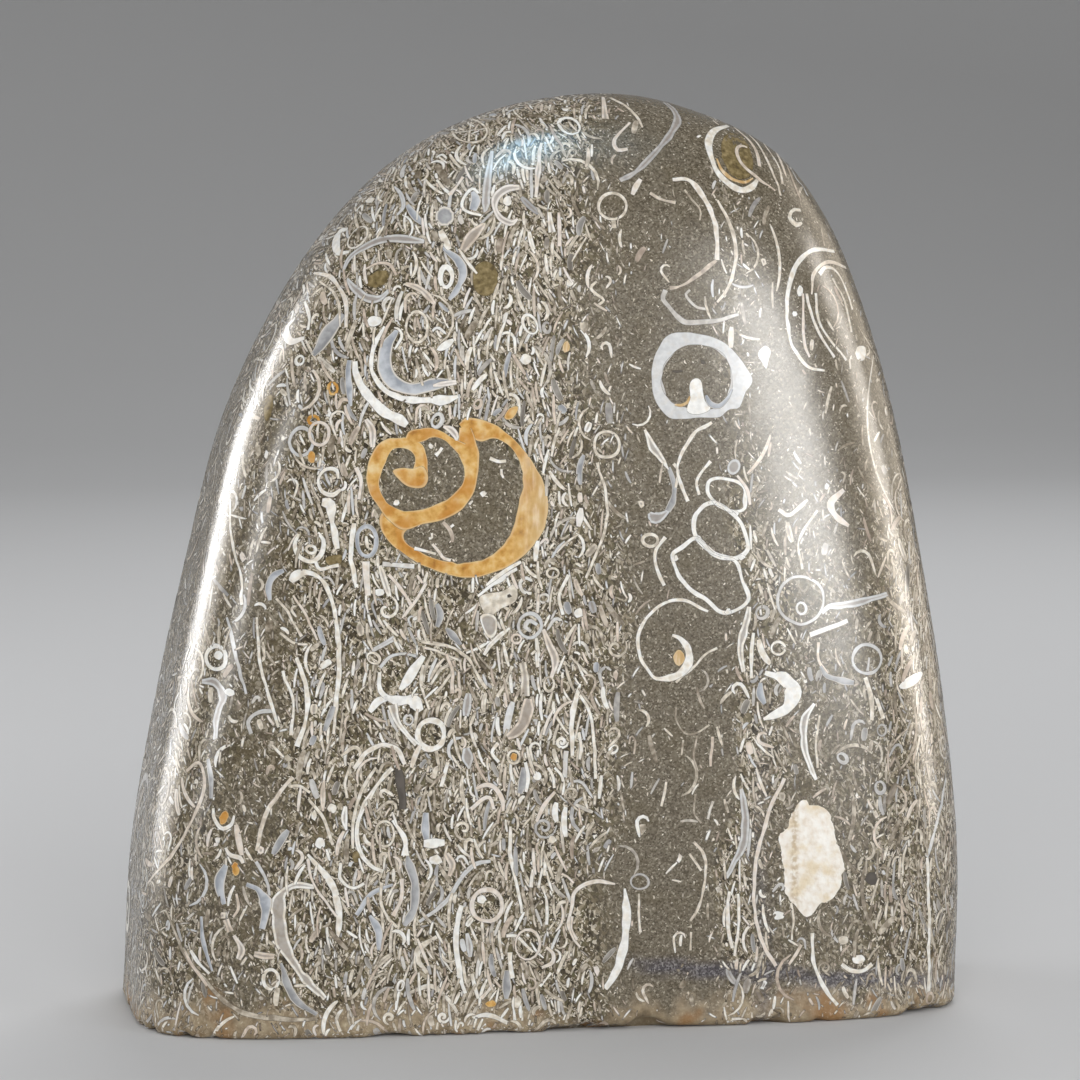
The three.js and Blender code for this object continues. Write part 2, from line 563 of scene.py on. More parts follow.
# The rings that a filled shape is made of, as shares of its outline.
DOT, PATCH, LUMP, BLOB = (1, 0.5), (1, 0.66, 0.33), (1, 0.75, 0.5, 0.25), (1, 0.8, 0.6, 0.4, 0.2)


def draw(inlay, marks, tone, closed=False, tint=ANY):
    """Lays one band in the stone through marks of (right, up, width) in the view, in mm."""
    path = unsteady(smooth_line(marks, closed), closed)
    lines, normals = surface.seen(path[:, :2])
    widths = path[None, :, 2]
    room.take(cover(lines[None], normals[None], widths, closed))
    tints = rng.random(1) if tint is ANY else np.array([tint])
    inlay.bands(lines[None], normals[None], widths, np.array([tone]), tints, closed)


def bands(inlay, tone, tint, *paths):
    """Lays bands alike, each through marks of (right, up, width) in the view, in mm."""
    for marks in paths:
        draw(inlay, marks, tone, tint=tint)


def thin(tone, *rows):
    """Lays thin shells, each given as its width and then its marks of (right, up) in the view."""
    for wide, *marks in rows:
        draw(shell, [(*mark, wide) for mark in marks], tone)


def loops(inlay, tone, tint, *rows):
    """Lays shells cut across as rings, each with what oval() takes."""
    for row in rows:
        draw(inlay, oval(*row), tone, closed=True, tint=tint)


def dots(inlay, tone, *rows):
    """Lays small filled ovals: right, up, reach across and up, and a lean if it has one."""
    for right, up, across, high, *lean in rows:
        fill(inlay, oval(right, up, across, high, None, *lean), tone, SOLID, 0.05, DOT)


def wall(inlay, inner, outer, tone, tint, closed=False):
    """Lays a band between its two edges, which run clockwise side by side in the view."""
    length = np.linalg.norm(np.diff(np.array(outer, float), axis=0), axis=1).sum()
    count = max(6, round(length / STEP))
    first, last = (unsteady(smooth_line(edge, closed, count=count), closed)[:, :2] for edge in (inner, outer))
    apart = last - first
    widest = np.linalg.norm(apart, axis=1).max()
    lanes = max(1, math.ceil(widest / LANE))
    flat = first[:, None] + apart[:, None] * (np.arange(lanes + 1) / lanes)[:, None]
    tops, normals = surface.seen(flat.reshape(-1, 2))
    shape = (1, len(first), lanes + 1, 3)
    inlay.rows(tops.reshape(shape), normals.reshape(shape), np.array([tone]), np.array([tint]), closed)
    for share in np.arange(0, 1, Room.CUBE / widest):
        room.take(surface.seen(smooth_line(first + apart * share, closed, Room.CUBE))[0])


def oval(right, up, across, high=None, width=None, lean=0.0, count=10):
    """Marks round an oval that reaches across and high mm from its middle, leaning in radians."""
    turn = np.arange(count) / count * 2 * math.pi
    flat = np.stack([across * np.cos(turn), (high or across) * np.sin(turn)], -1)
    cos, sin = math.cos(lean), math.sin(lean)
    flat = flat @ np.array([[cos, sin], [-sin, cos]]) + [right, up]
    return flat if width is None else np.column_stack([flat, np.full(count, width)])


def fill(inlay, outline, tone, tint=SOLID, ragged=0.0, shares=BLOB):
    """Lays a filled shape in the stone, with its outline in the view, ragged by some mm."""
    rim = smooth_line(outline, True)
    rim += ragged * rng.normal(size=rim.shape)
    if clockwise(rim):
        rim = rim[::-1]
    places = surface.seen(rim)[0]
    clear(rim)
    inlay.patches(places[None], np.array([tone]), np.array([tint]), shares)


def clockwise(rim):
    """Whether an outline in the view runs clockwise: its triangles would face into the stone."""
    after = np.roll(rim, -1, 0)
    return (rim[:, 0] * after[:, 1] - after[:, 0] * rim[:, 1]).sum() < 0


def clear(outline):
    """Keeps the strewn hash out of an outline in the view."""
    rim = smooth_line(outline, True, CLEAR_STEP)
    middle = rim.mean(0)
    reach = np.linalg.norm(rim - middle, axis=1).max()
    for share in np.arange(0, 1, CLEAR_STEP / reach):
        room.take(surface.seen(middle + (rim - middle) * share)[0])


# ---------------------------------------------------------------- the strewn hash

# How thick the hash lies in the beds, at places along X: 0 is bare and 1 is dense.
BEDS = [
    (-54, 0.7), (-50, 0.5), (-45, 0.32), (-39, 0.36), (-34, 0.62), (-28, 0.85), (-20, 0.95), (-12, 1.05),
    (-5, 1.0), (-2, 0.75), (1, 0.5), (4, 0.3), (7, 0.14), (10, 0.05), (16, 0.06), (18.5, 0.2),
    (20.3, 0.85), (23, 0.75), (25.5, 0.24), (38, 0.4), (42, 0.65), (47, 0.9), (54, 1.0),
]
SNAIL_X, SNAIL_Z = -14.6, 67.4  # the inside of the moon snail is nearly bare
SNAIL_REACH_X, SNAIL_REACH_Z = 11.5, 10
LOWEST_PLACE = 0.25  # hash is strewn above this height, in mm
SPLINTER_STEPS = 3  # shapes of so few points are made in few triangles
RIGHT_IS_DULLER = 0.35  # the share of its tone that hash loses in the bed at the right


def hash_at(points):
    """How thick the hash lies at points: upright beds that wander, patchy, thin at upper right."""
    x, y, z = points[..., 0], points[..., 1], points[..., 2]
    wander = 1.6 * np.sin(0.085 * z + 0.6) + 0.9 * np.sin(0.27 * z + 0.15 * y) + 0.05 * y
    bed = np.interp(x + wander, *np.transpose(BEDS))
    upper_right = rising(z, 54, 20) * rising(x, 10, 8)
    from_snail = np.hypot((x - SNAIL_X) / SNAIL_REACH_X, (z - SNAIL_Z) / SNAIL_REACH_Z)
    in_snail = np.clip(4 * (1 - from_snail), 0, 1) * (y < 0)
    patchy = np.sin(0.31 * x + 0.23 * z + 1.1) * np.sin(0.27 * z - 0.19 * x + 0.21 * y)
    return np.clip(bed * (1 - 0.7 * upper_right) * (1 - 0.8 * in_snail) * (1 + 0.30 * patchy), 0.03, 1.1)


def strewn(count, weight_at):
    """Random places on the stone, more where the weight is high: places, and two directions.

    The first direction runs up along the trace of the bedding, and the second across it.
    """
    first, second, third = (surface.points[surface.triangles[:, k]] for k in range(3))
    second, third = second - first, third - first
    areas = np.linalg.norm(np.cross(second, third), axis=1)
    middles = surface.points[surface.triangles].mean(1)
    weights = areas * weight_at(middles) * (middles[:, 2] > LOWEST_PLACE)
    chosen = np.searchsorted(np.cumsum(weights), rng.random(count) * weights.sum())
    a, b = rng.random((2, count, 1))
    flip = a + b > 1
    a, b = np.where(flip, 1 - a, a), np.where(flip, 1 - b, b)
    places = first[chosen] + a * second[chosen] + b * third[chosen]
    normals = surface.normal_at(places, chosen)
    trace = np.cross(normals, [1.0, 0, 0])
    loose = rng.normal(size=trace.shape) * 0.35 * (1 - np.linalg.norm(trace, axis=1, keepdims=True))
    trace = trace + loose + 1e-6
    trace = unit(trace - normals * (trace * normals).sum(1, keepdims=True))
    return places, trace, np.cross(trace, normals)


def flow_at(points):
    """How far neighbouring pieces lean off the bedding together, in radians."""
    x, z = points[..., 0], points[..., 2] + 0.4 * points[..., 1]
    wide = np.sin(0.33 * x + 0.21 * z + 0.5) * np.sin(0.29 * z - 0.17 * x + 1.3)
    near = np.sin(0.95 * x + 0.41 * z) * np.sin(0.83 * z - 0.52 * x + 2.0)
    return 0.42 * wide + 0.30 * near


def lay(inlay, shapes, widths, closed, weight_at, lean, most, tone):
    """Strews shapes (M, N, 2), long way first, where there is room, leaning off the bedding."""
    places, up, aside = strewn(len(shapes), weight_at)
    angle = flow_at(places) + rng.normal(size=len(shapes)) * lean
    cos, sin = np.cos(angle)[:, None], np.sin(angle)[:, None]
    ahead = shapes[..., 0] * cos - shapes[..., 1] * sin
    across = shapes[..., 0] * sin + shapes[..., 1] * cos
    flat = places[:, None] + up[:, None] * ahead[..., None] + aside[:, None] * across[..., None]
    lines, normals = surface.drop(flat)
    kept = room.fit(cover(lines, normals, widths, closed), most)
    muted = 1 - RIGHT_IS_DULLER * rising(places[kept, 0], 24, 10)
    tones = between(len(kept), *tone, 1.4) * muted
    tints = rng.random(len(kept))
    if shapes.shape[1] == SPLINTER_STEPS:
        inlay.splinters(lines[kept], normals[kept], widths[kept], tones, tints)
    else:
        inlay.bands(lines[kept], normals[kept], widths[kept], tones, tints, closed)


def between(count, low, high, power=1.0):
    """Random values from low to high, with more low ones where the power is over 1."""
    return low + (high - low) * rng.random(count) ** power


def tapered(width, steps, ends):
    """Widths (M, N) along bands that narrow to a share of their width at their ends."""
    along = np.linspace(-1, 1, steps)
    return width[:, None] * (ends + (1 - ends) * np.sqrt(1 - along**2))


def uneven(width, steps):
    """Widths (M, N) round closed rings that are thicker on one side."""
    turn = np.arange(steps) / steps * 2 * math.pi
    return width[:, None] * (1 + 0.35 * np.sin(turn + between(len(width), 0, 6)[:, None]))


def bows(radius, turn, steps):
    """Arcs (M, N, 2) of some radius and turn, with their chord along the first direction."""
    angle = turn[:, None] * np.linspace(-0.5, 0.5, steps)
    arc = np.stack([radius[:, None] * np.sin(angle), radius[:, None] * np.cos(angle)], -1)
    arc[..., 1] *= np.where(rng.random(len(radius)) < 0.5, 1, -1)[:, None]
    return arc - arc.mean(1, keepdims=True)


def rings(radius, steps):
    """Closed loops (M, N, 2), a little squashed and uneven."""
    turn = np.arange(steps) / steps * 2 * math.pi
    bulge = 0.10 * rng.normal(size=(len(radius), 1))
    bulge = bulge * np.cos(2 * turn + rng.random((len(radius), 1)) * 6)
    squash = between(len(radius), 0.65, 1.0)[:, None]
    reach = radius[:, None] * (1 + bulge)
    return np.stack([reach * np.sin(turn), squash * reach * np.cos(turn)], -1)


def coils(radius, turns, steps):
    """Spirals (M, N, 2), as a snail's whorls show in section."""
    share = np.linspace(0, 1, steps)
    angle = turns[:, None] * 2 * math.pi * share + rng.random((len(radius), 1)) * 6
    reach = radius[:, None] * (0.12 + 0.88 * share**1.2)
    return np.stack([reach * np.sin(angle), reach * np.cos(angle)], -1)


def hooks(length, steps):
    """Lines (M, N, 2) that run straight and then curl over at one end."""
    share = np.linspace(0, 1, steps)
    curl = between(len(length), 2.0, 4.2)[:, None] * np.maximum(share - 0.45, 0) ** 1.1 * 1.6
    heading = curl * np.where(rng.random((len(length), 1)) < 0.5, 1, -1)
    step = length[:, None] / (steps - 1)
    line = np.cumsum(np.stack([step * np.cos(heading), step * np.sin(heading)], -1), 1)
    return line - line.mean(1, keepdims=True)


def slivers(length, bend, steps):
    """Nearly straight pieces (M, N, 2)."""
    along = np.linspace(-0.5, 0.5, steps)
    return np.stack([length[:, None] * along, (bend * length)[:, None] * (along**2 - 0.08)], -1)


def margins(points):
    """Weight of the large thin shells: the left and right beds, with some elsewhere."""
    x = points[..., 0]
    inner = np.where(x > 6, 0.0, 0.12)
    return np.where((x < -38) | (x > 24), 1.0, inner) + 0.25 * (points[..., 1] > 0)


def behind(points):
    """Weight of the back half, where the large fossils are strewn and not drawn."""
    return 1.0 * (points[..., 1] > 2)


def everywhere(points):
    """Weight of middling pieces: wherever there is hash."""
    return 0.01 + hash_at(points) ** 1.3


def thickly(points):
    """Weight of the smallest pieces, which fill what is left of the hash."""
    return 0.01 + np.maximum(hash_at(points) - 0.1, 0) ** 0.6


def bare(points):
    """Weight of the specks on the bare rock."""
    return np.clip(1.05 - hash_at(points), 0.05, 1)


def combed(points):
    """Weight of long slivers side by side: the thickest columns of the hash."""
    return np.clip(1.4 * hash_at(points) - 0.45, 0.02, 1) ** 1.5


# ---------------------------------------------------------------- the large fossils

def draw_fossils():
    """The fossils that can be told apart on the front, each as marks in the view."""
    draw_moon_snail()
    draw_white_snail()
    draw_chambers()
    draw_upper_right()
    draw_right()
    draw_bare()
    draw_upper_left()
    draw_left()
    draw_under_snail()
    draw_lower_left()
    draw_lower_middle()


def draw_moon_snail():
    """The honey-coloured snail: a body whorl, an inner whorl that ends in a ball, a bridge."""
    body_inner = [
        (-9.4, 13.4), (-7.6, 12.8), (-6, 13.2), (-4, 12.2), (-2.6, 10), (-2.2, 7.4), (-2.8, 4.8),
        (-3.4, 2.2), (-4.6, -0.4), (-6.8, -2.2), (-10, -3), (-13.6, -2.4), (-16.6, -0.9), (-17.7, 0.2),
        (-17.4, 1.2), (-16, 1.9),
    ]
    body_outer = [
        (-10.5, 15.1), (-9.4, 15.9), (-6.5, 15.4), (-3.6, 13.3), (-0.9, 10.2), (0.8, 6.5), (0.9, 2.6),
        (-0.9, -0.9), (-4.8, -3.8), (-9.6, -4.9), (-14.7, -3.6), (-18.8, -1), (-20.6, 1.2), (-20.9, 2.8),
        (-20.2, 4.2),
    ]
    whorl_inner = [
        (-10.5, 14.6), (-10.7, 11.4), (-9.8, 9.3), (-10.1, 7.3), (-11.6, 5.7), (-13.8, 4.5), (-16.6, 3.8),
        (-18.8, 4.1), (-20.2, 5.2), (-20.9, 7), (-20.6, 8.6), (-20.1, 10.2), (-19.3, 11.6), (-18, 12),
        (-16.7, 11.5), (-16.3, 10.4), (-16.5, 9.2), (-17, 8.4),
    ]
    whorl_outer = [
        (-8.8, 14.6), (-8, 11.4), (-8.1, 8.3), (-8.7, 5.9), (-10.4, 3.8), (-12.6, 2.6), (-15.4, 2),
        (-17.8, 1.3), (-19.8, 2.6), (-21.2, 4.6), (-22.3, 6.4), (-22.6, 8.6), (-22.1, 10.9), (-20.6, 12.8),
        (-18.4, 13.4), (-16.3, 13.2), (-14.9, 11.8), (-14.6, 9.6), (-14.5, 8), (-15, 7),
    ]
    bridge_inner = [
        (-15.6, 12.6), (-14.8, 12.9), (-14.1, 13.3), (-13.2, 13.3), (-12.2, 12.8), (-11.2, 11.9),
        (-10.4, 10.9),
    ]
    bridge_outer = [
        (-17.5, 13.2), (-17.1, 14.1), (-15.9, 14.5), (-14.3, 14.6), (-12.6, 14.1), (-11.2, 13.2),
        (-9.6, 12.6),
    ]
    ball = [
        (-19.2, 9), (-18, 9.4), (-16.6, 9.3), (-15.2, 9.6), (-14.5, 8.2), (-14.9, 7), (-15.9, 6.7),
        (-17.3, 7), (-18.4, 7.9),
    ]
    wall(amber, body_inner, body_outer, HONEY, 0.15)
    wall(amber, whorl_inner, whorl_outer, HONEY, 0.4)
    wall(amber, bridge_inner, bridge_outer, HONEY, 0.7)
    fill(amber, ball, HONEY, 0.95, shares=LUMP)
    bands(shell, WHITE, PINKISH,
          [(-12.6, 14.8, 0.3), (-11.6, 14.3, 0.8), (-10.9, 13.5, 0.6), (-10.8, 12.9, 0.2)])
    bands(shell, TAN, PINKISH,
          [(-12.6, 2.3, 0.4), (-11.8, 1.4, 0.55), (-11.4, 0.4, 0.5), (-11.4, -0.3, 0.25)])
    dots(amber, OLIVE, (-17.5, 8.8, 0.36, 0.3))
    thin(PALE,
         (0.4, (-6.5, 10.6), (-5.5, 10.3), (-4.4, 10.4)),
         (0.26, (-5, 9.2), (-4.8, 8)),
         (0.24, (-8.7, 5.1), (-9.2, 4.6)),
         (0.34, (-13.6, 11), (-12.6, 12)),
         (0.4, (-16.3, -1.1), (-15, -1.4), (-13.6, -1.8)),
         (0.3, (-14, -0.6), (-13, -1.6), (-12.5, -2.3), (-11.6, -2.6)),
         (0.24, (-14.1, 0.9), (-14, 0.3), (-14.4, 0.1)),
         (0.24, (-11.9, 1.4), (-11.2, 2)))
    clear([(-10.4, 15.6), (-3.4, 13.2), (0.7, 6.5), (-0.9, -0.9), (-9.6, -4.8), (-18.8, -1), (-20.6, 2.4),
          (-22.4, 8.6), (-20.4, 12.6), (-16.4, 14.2), (-12.6, 14)])
    for right, up, reach in ((-7.4, 6.0, 0.42), (-18.7, 4.8, 0.42), (-14.2, 12.2, 0.4), (-13.2, 8.9, 0.2)):
        fill(shell, oval(right, up, reach, count=6), PALE, 0.4, 0.06, DOT)


def draw_white_snail():
    """The white ring of a snail cut across, with the pillar of its axis inside."""
    inner = [
        (15.8, 20.8), (16.2, 22.8), (17.2, 24.2), (18.6, 25.1), (20.4, 25.4), (22.6, 25), (24, 23.9),
        (24.8, 22.2), (25, 20.6), (24.8, 19.2), (24.1, 18), (22.6, 17.1), (20.4, 16.9), (18.3, 17.4),
        (16.9, 18.2), (16.1, 19.4),
    ]
    outer = [
        (14.5, 20.6), (14.7, 23.4), (15.8, 25.7), (17.3, 26.9), (20, 26.9), (22.9, 26.3), (25, 24.8),
        (26.6, 22.8), (27.7, 20.8), (26.7, 19.2), (26, 17.3), (24.8, 17), (23.4, 16), (20.4, 15.9),
        (18.4, 15.7), (16.7, 15.9), (15.4, 17.4), (14.7, 18.9),
    ]
    pillar = [
        (19.1, 16.7), (19.5, 18.6), (19.4, 20), (19.7, 20.8), (20.4, 21.1), (21, 20.6), (21.2, 19.2),
        (21.5, 18), (22.2, 17), (20.6, 16.3),
    ]
    wall(shell, inner, outer, WHITE, 0.1, closed=True)
    fill(shell, pillar, WHITE, 0.35, shares=LUMP)
    bands(grey, BLUE, SOLID,
          [(21.5, 18.7, 0.3), (22.1, 17.7, 0.7), (23.2, 17.5, 0.7), (24.4, 18.4, 0.4), (25, 19.6, 0.2)])
    bands(shell, CREAM, COOL,
          [(24.2, 18.2, 0.2), (25.1, 20.4, 0.55), (25, 22.4, 0.6), (24.1, 24.1, 0.6), (22.6, 25.3, 0.6),
           (20.4, 25.8, 0.6), (18.2, 25.3, 0.6), (16.8, 24, 0.6), (15.8, 22.4, 0.6), (15.6, 20.6, 0.6),
           (16.2, 18.9, 0.3)])
    bands(amber, HONEY, SOLID,
          [(17.5, 17.7, 0.2), (18.4, 17.5, 0.45), (19.1, 17.8, 0.4), (19.4, 18.6, 0.15)])
    bands(grey, DARK, ANY, [(17.2, 22, 0.15), (17.8, 22, 0.3), (18.5, 22.1, 0.15)])
    dots(grey, DARK, (21.2, 23.1, 0.4, 0.25))
    clear(oval(20.4, 21.3, 4.9, 4.3))


def draw_chambers():
    """A thin-walled snail cut along its axis: one chamber under another."""
    top = [(21.8, 7.4), (22, 5.8), (23.2, 4.6), (25.1, 3.7), (26.6, 4.3), (26.4, 7), (24.4, 7.9), (22.9, 8)]
    middle = [
        (22.6, 4.8), (20.4, 3.6), (20, 1.4), (20.6, 0), (22.6, -1.6), (25.4, -2.4), (27, -1.2), (26.6, 1.2),
        (25.4, 3.2),
    ]
    lowest = [
        (20.4, 0.2), (18.5, -1), (17.2, -2.3), (18.7, -5.6), (21.6, -7.8), (24.2, -9.5), (27, -7.8),
        (26.3, -5.2), (25.3, -2.6), (22.7, -2),
    ]
    fill(shell, oval(25.2, 9.5, 0.85, 1.1, lean=-0.4), WHITE, COOL)
    ring = [
        (21.8, -9.2, 0.3), (18.5, -7.8, 0.35), (15.3, -8.7, 0.38), (13.1, -11.4, 0.4), (12.9, -14.8, 0.4),
        (14.6, -17.6, 0.45), (16, -18.1, 0.5), (17.9, -17.6, 1), (19.3, -16, 1.3), (19.2, -14.2, 1),
        (18.2, -12.8, 0.5), (17.2, -12.4, 0.3),
    ]
    draw(shell, ring, PALE)
    bands(shell, PALE, ANY,
          [(25.6, 8.4, 0.3), (26.9, 6.6, 0.4), (27.3, 4.6, 0.3)],
          [(17.6, 6.8, 0.3), (18, 8.8, 0.36), (17.4, 10, 0.3)])
    bands(shell, PALE, HOLLOW, [(13.6, 14.3, 0.3), (14.6, 12.2, 1), (15.8, 10.4, 0.8), (16.8, 9.2, 0.3)])
    bands(grey, GREY, ANY, [(16.7, 9.4, 0.3), (17.4, 7.2, 0.75), (17.3, 5.2, 0.8), (16.6, 3.8, 0.7)])
    bands(shell, WHITE, COOL, [(16.8, 3.8, 0.4), (15.8, 3.1, 0.9), (14.8, 2.9, 1.25), (14.2, 3.5, 0.5)])
    loops(shell, CREAM, ANY, (14.3, 0, 1, 0.8, 0.4))
    dots(amber, HONEY, (18.1, -15.3, 0.75, 1.1))
    thin(PALE,
         (0.38, (22.4, 15.3), (20.2, 14), (18.2, 10.7), (17.9, 8.5), (19.2, 5.1)),
         (0.38, (22.2, 10.3), (20.4, 7.8), (20.7, 5.9)),
         (0.38, (16.3, 0.3), (15.1, -1.3), (15.1, -3.3), (16.1, -5.9)))
    for chamber, thick in ((top, 0.44), (middle, 0.5), (lowest, 0.46)):
        draw(shell, [(*mark, thick) for mark in chamber], WHITE, closed=True, tint=SOLID)
        clear(chamber)
    for corner in ((20.6, 0.1), (25.4, 3.5), (26.2, -2.2), (22.4, 4.9), (24.4, -9.3), (17.5, -2.4)):
        fill(shell, oval(*corner, 0.5, 0.42), WHITE, SOLID, 0.08, DOT)
    clear(oval(16.2, -13.2, 2.9, 3.8))


def draw_upper_right():
    """The tall sinuous shell on the bare rock, the long bar and the oval by the edge."""
    fill(amber, oval(25.6, 49.9, 1.9, 3.2, lean=0.35), OLIVE, 0.3, 0.05, PATCH)
    bands(shell, PALE, ANY,
          [(17.2, 46.9, 0.4), (19.5, 46.7, 0.6), (21.8, 43.6, 0.6), (23, 39.7, 0.6), (23, 36.4, 0.5)],
          [(11.7, 54.3, 0.4), (9.8, 52, 0.55), (10.1, 50.7, 0.55), (11.4, 50.8, 0.4)],
          [(13, 46.8, 0.5), (12.4, 45.9, 0.8), (12, 44.9, 0.5)])
    bands(shell, TAN, PINKISH, [(22.9, 36.4, 0.5), (20.8, 34.7, 0.5), (18.2, 33, 0.55), (16.9, 32.8, 0.4)])
    bands(shell, CREAM, ANY,
          [(16.3, 32.5, 0.5), (16.1, 31.2, 0.55), (17.9, 28.9, 0.6), (19.5, 28.3, 0.6), (23.4, 28.6, 0.5),
           (25.7, 29.3, 0.3)],
          [(23, 44.2, 0.3), (24.6, 41.3, 0.5), (25.5, 37.4, 0.45), (24.7, 33.4, 0.4), (23.1, 30.9, 0.25)],
          [(19.5, 32.5, 0.3), (18.9, 31.7, 0.35), (20.2, 30.3, 0.35), (21.7, 30, 0.25)],
          [(9.1, 57.5, 0.3), (11.1, 56.4, 0.4), (12.6, 55, 0.4), (13.3, 53.6, 0.35)],
          [(14.3, 45.1, 0.3), (15.6, 44.3, 0.35), (17.6, 43.8, 0.3)])
    bands(shell, TAN, ANY,
          [(18.9, 45.5, 0.25), (20.7, 42.9, 0.3), (20.8, 41.6, 0.2)],
          [(9.5, 41.6, 0.5), (9.6, 40.6, 0.7)])
    bands(shell, TAN, COOL,
          [(16, 57.1, 0.6), (17.6, 55.6, 0.9), (17.7, 54.1, 0.95), (15.9, 51.4, 0.9), (12.7, 48.1, 0.75),
           (10.4, 46.7, 0.5)])
    bands(shell, PALE, SOLID,
          [(24.4, 53.9, 0.5), (22.8, 53.3, 0.75), (22, 51.9, 0.8), (22.1, 50, 0.75), (23.2, 47.7, 0.8),
           (25, 46, 0.9), (26.4, 45.5, 0.9), (27.6, 45.9, 0.7), (28.4, 46.8, 0.3)])
    bands(shell, CREAM, PINKISH,
          [(26.9, 51, 0.3), (26.2, 51.2, 0.4), (25.6, 50.7, 0.4), (25.8, 49.6, 0.4), (26.8, 48.3, 0.45),
           (28.4, 47, 0.45), (30.6, 45.4, 0.3)])
    bands(amber, GOLD, ANY,
          [(23, 49.6, 0.2), (23.7, 48.1, 0.4), (25, 46.9, 0.45), (26.6, 46.5, 0.4), (27.7, 47.1, 0.2)])
    bands(shell, CREAM, SOLID,
          [(33.9, 42.8, 0.4), (32.9, 42.9, 0.6), (32.5, 41.9, 0.7), (33.3, 41, 0.7), (34, 41.3, 0.3)])
    loops(shell, CREAM, ANY, (9.4, 43.4, 1.8, 1.7, 0.32))
    thin(CREAM,
         (0.45, (24.6, 54.1), (25.9, 53.1), (27.2, 51.9), (28.1, 50.4), (28.5, 48.6)),
         (0.36, (27.2, 52.6), (28.6, 51), (29.8, 48.8), (30.6, 46.8), (31.2, 44.8)),
         (0.36, (28.6, 52.2), (30.2, 49.9), (31.2, 48), (31.5, 46.3)),
         (0.4, (29.4, 51.6), (31.6, 49.4), (33.4, 47), (34.8, 44.8)))
    clear([(24.2, 53.4), (22.6, 51.7), (23.4, 48.8), (25.6, 46.7), (27.4, 48.5), (27.2, 52)])
    clear([(19.4, 45.6), (22.4, 41), (22.6, 37), (19, 33.6), (18.4, 38), (17.5, 43)])


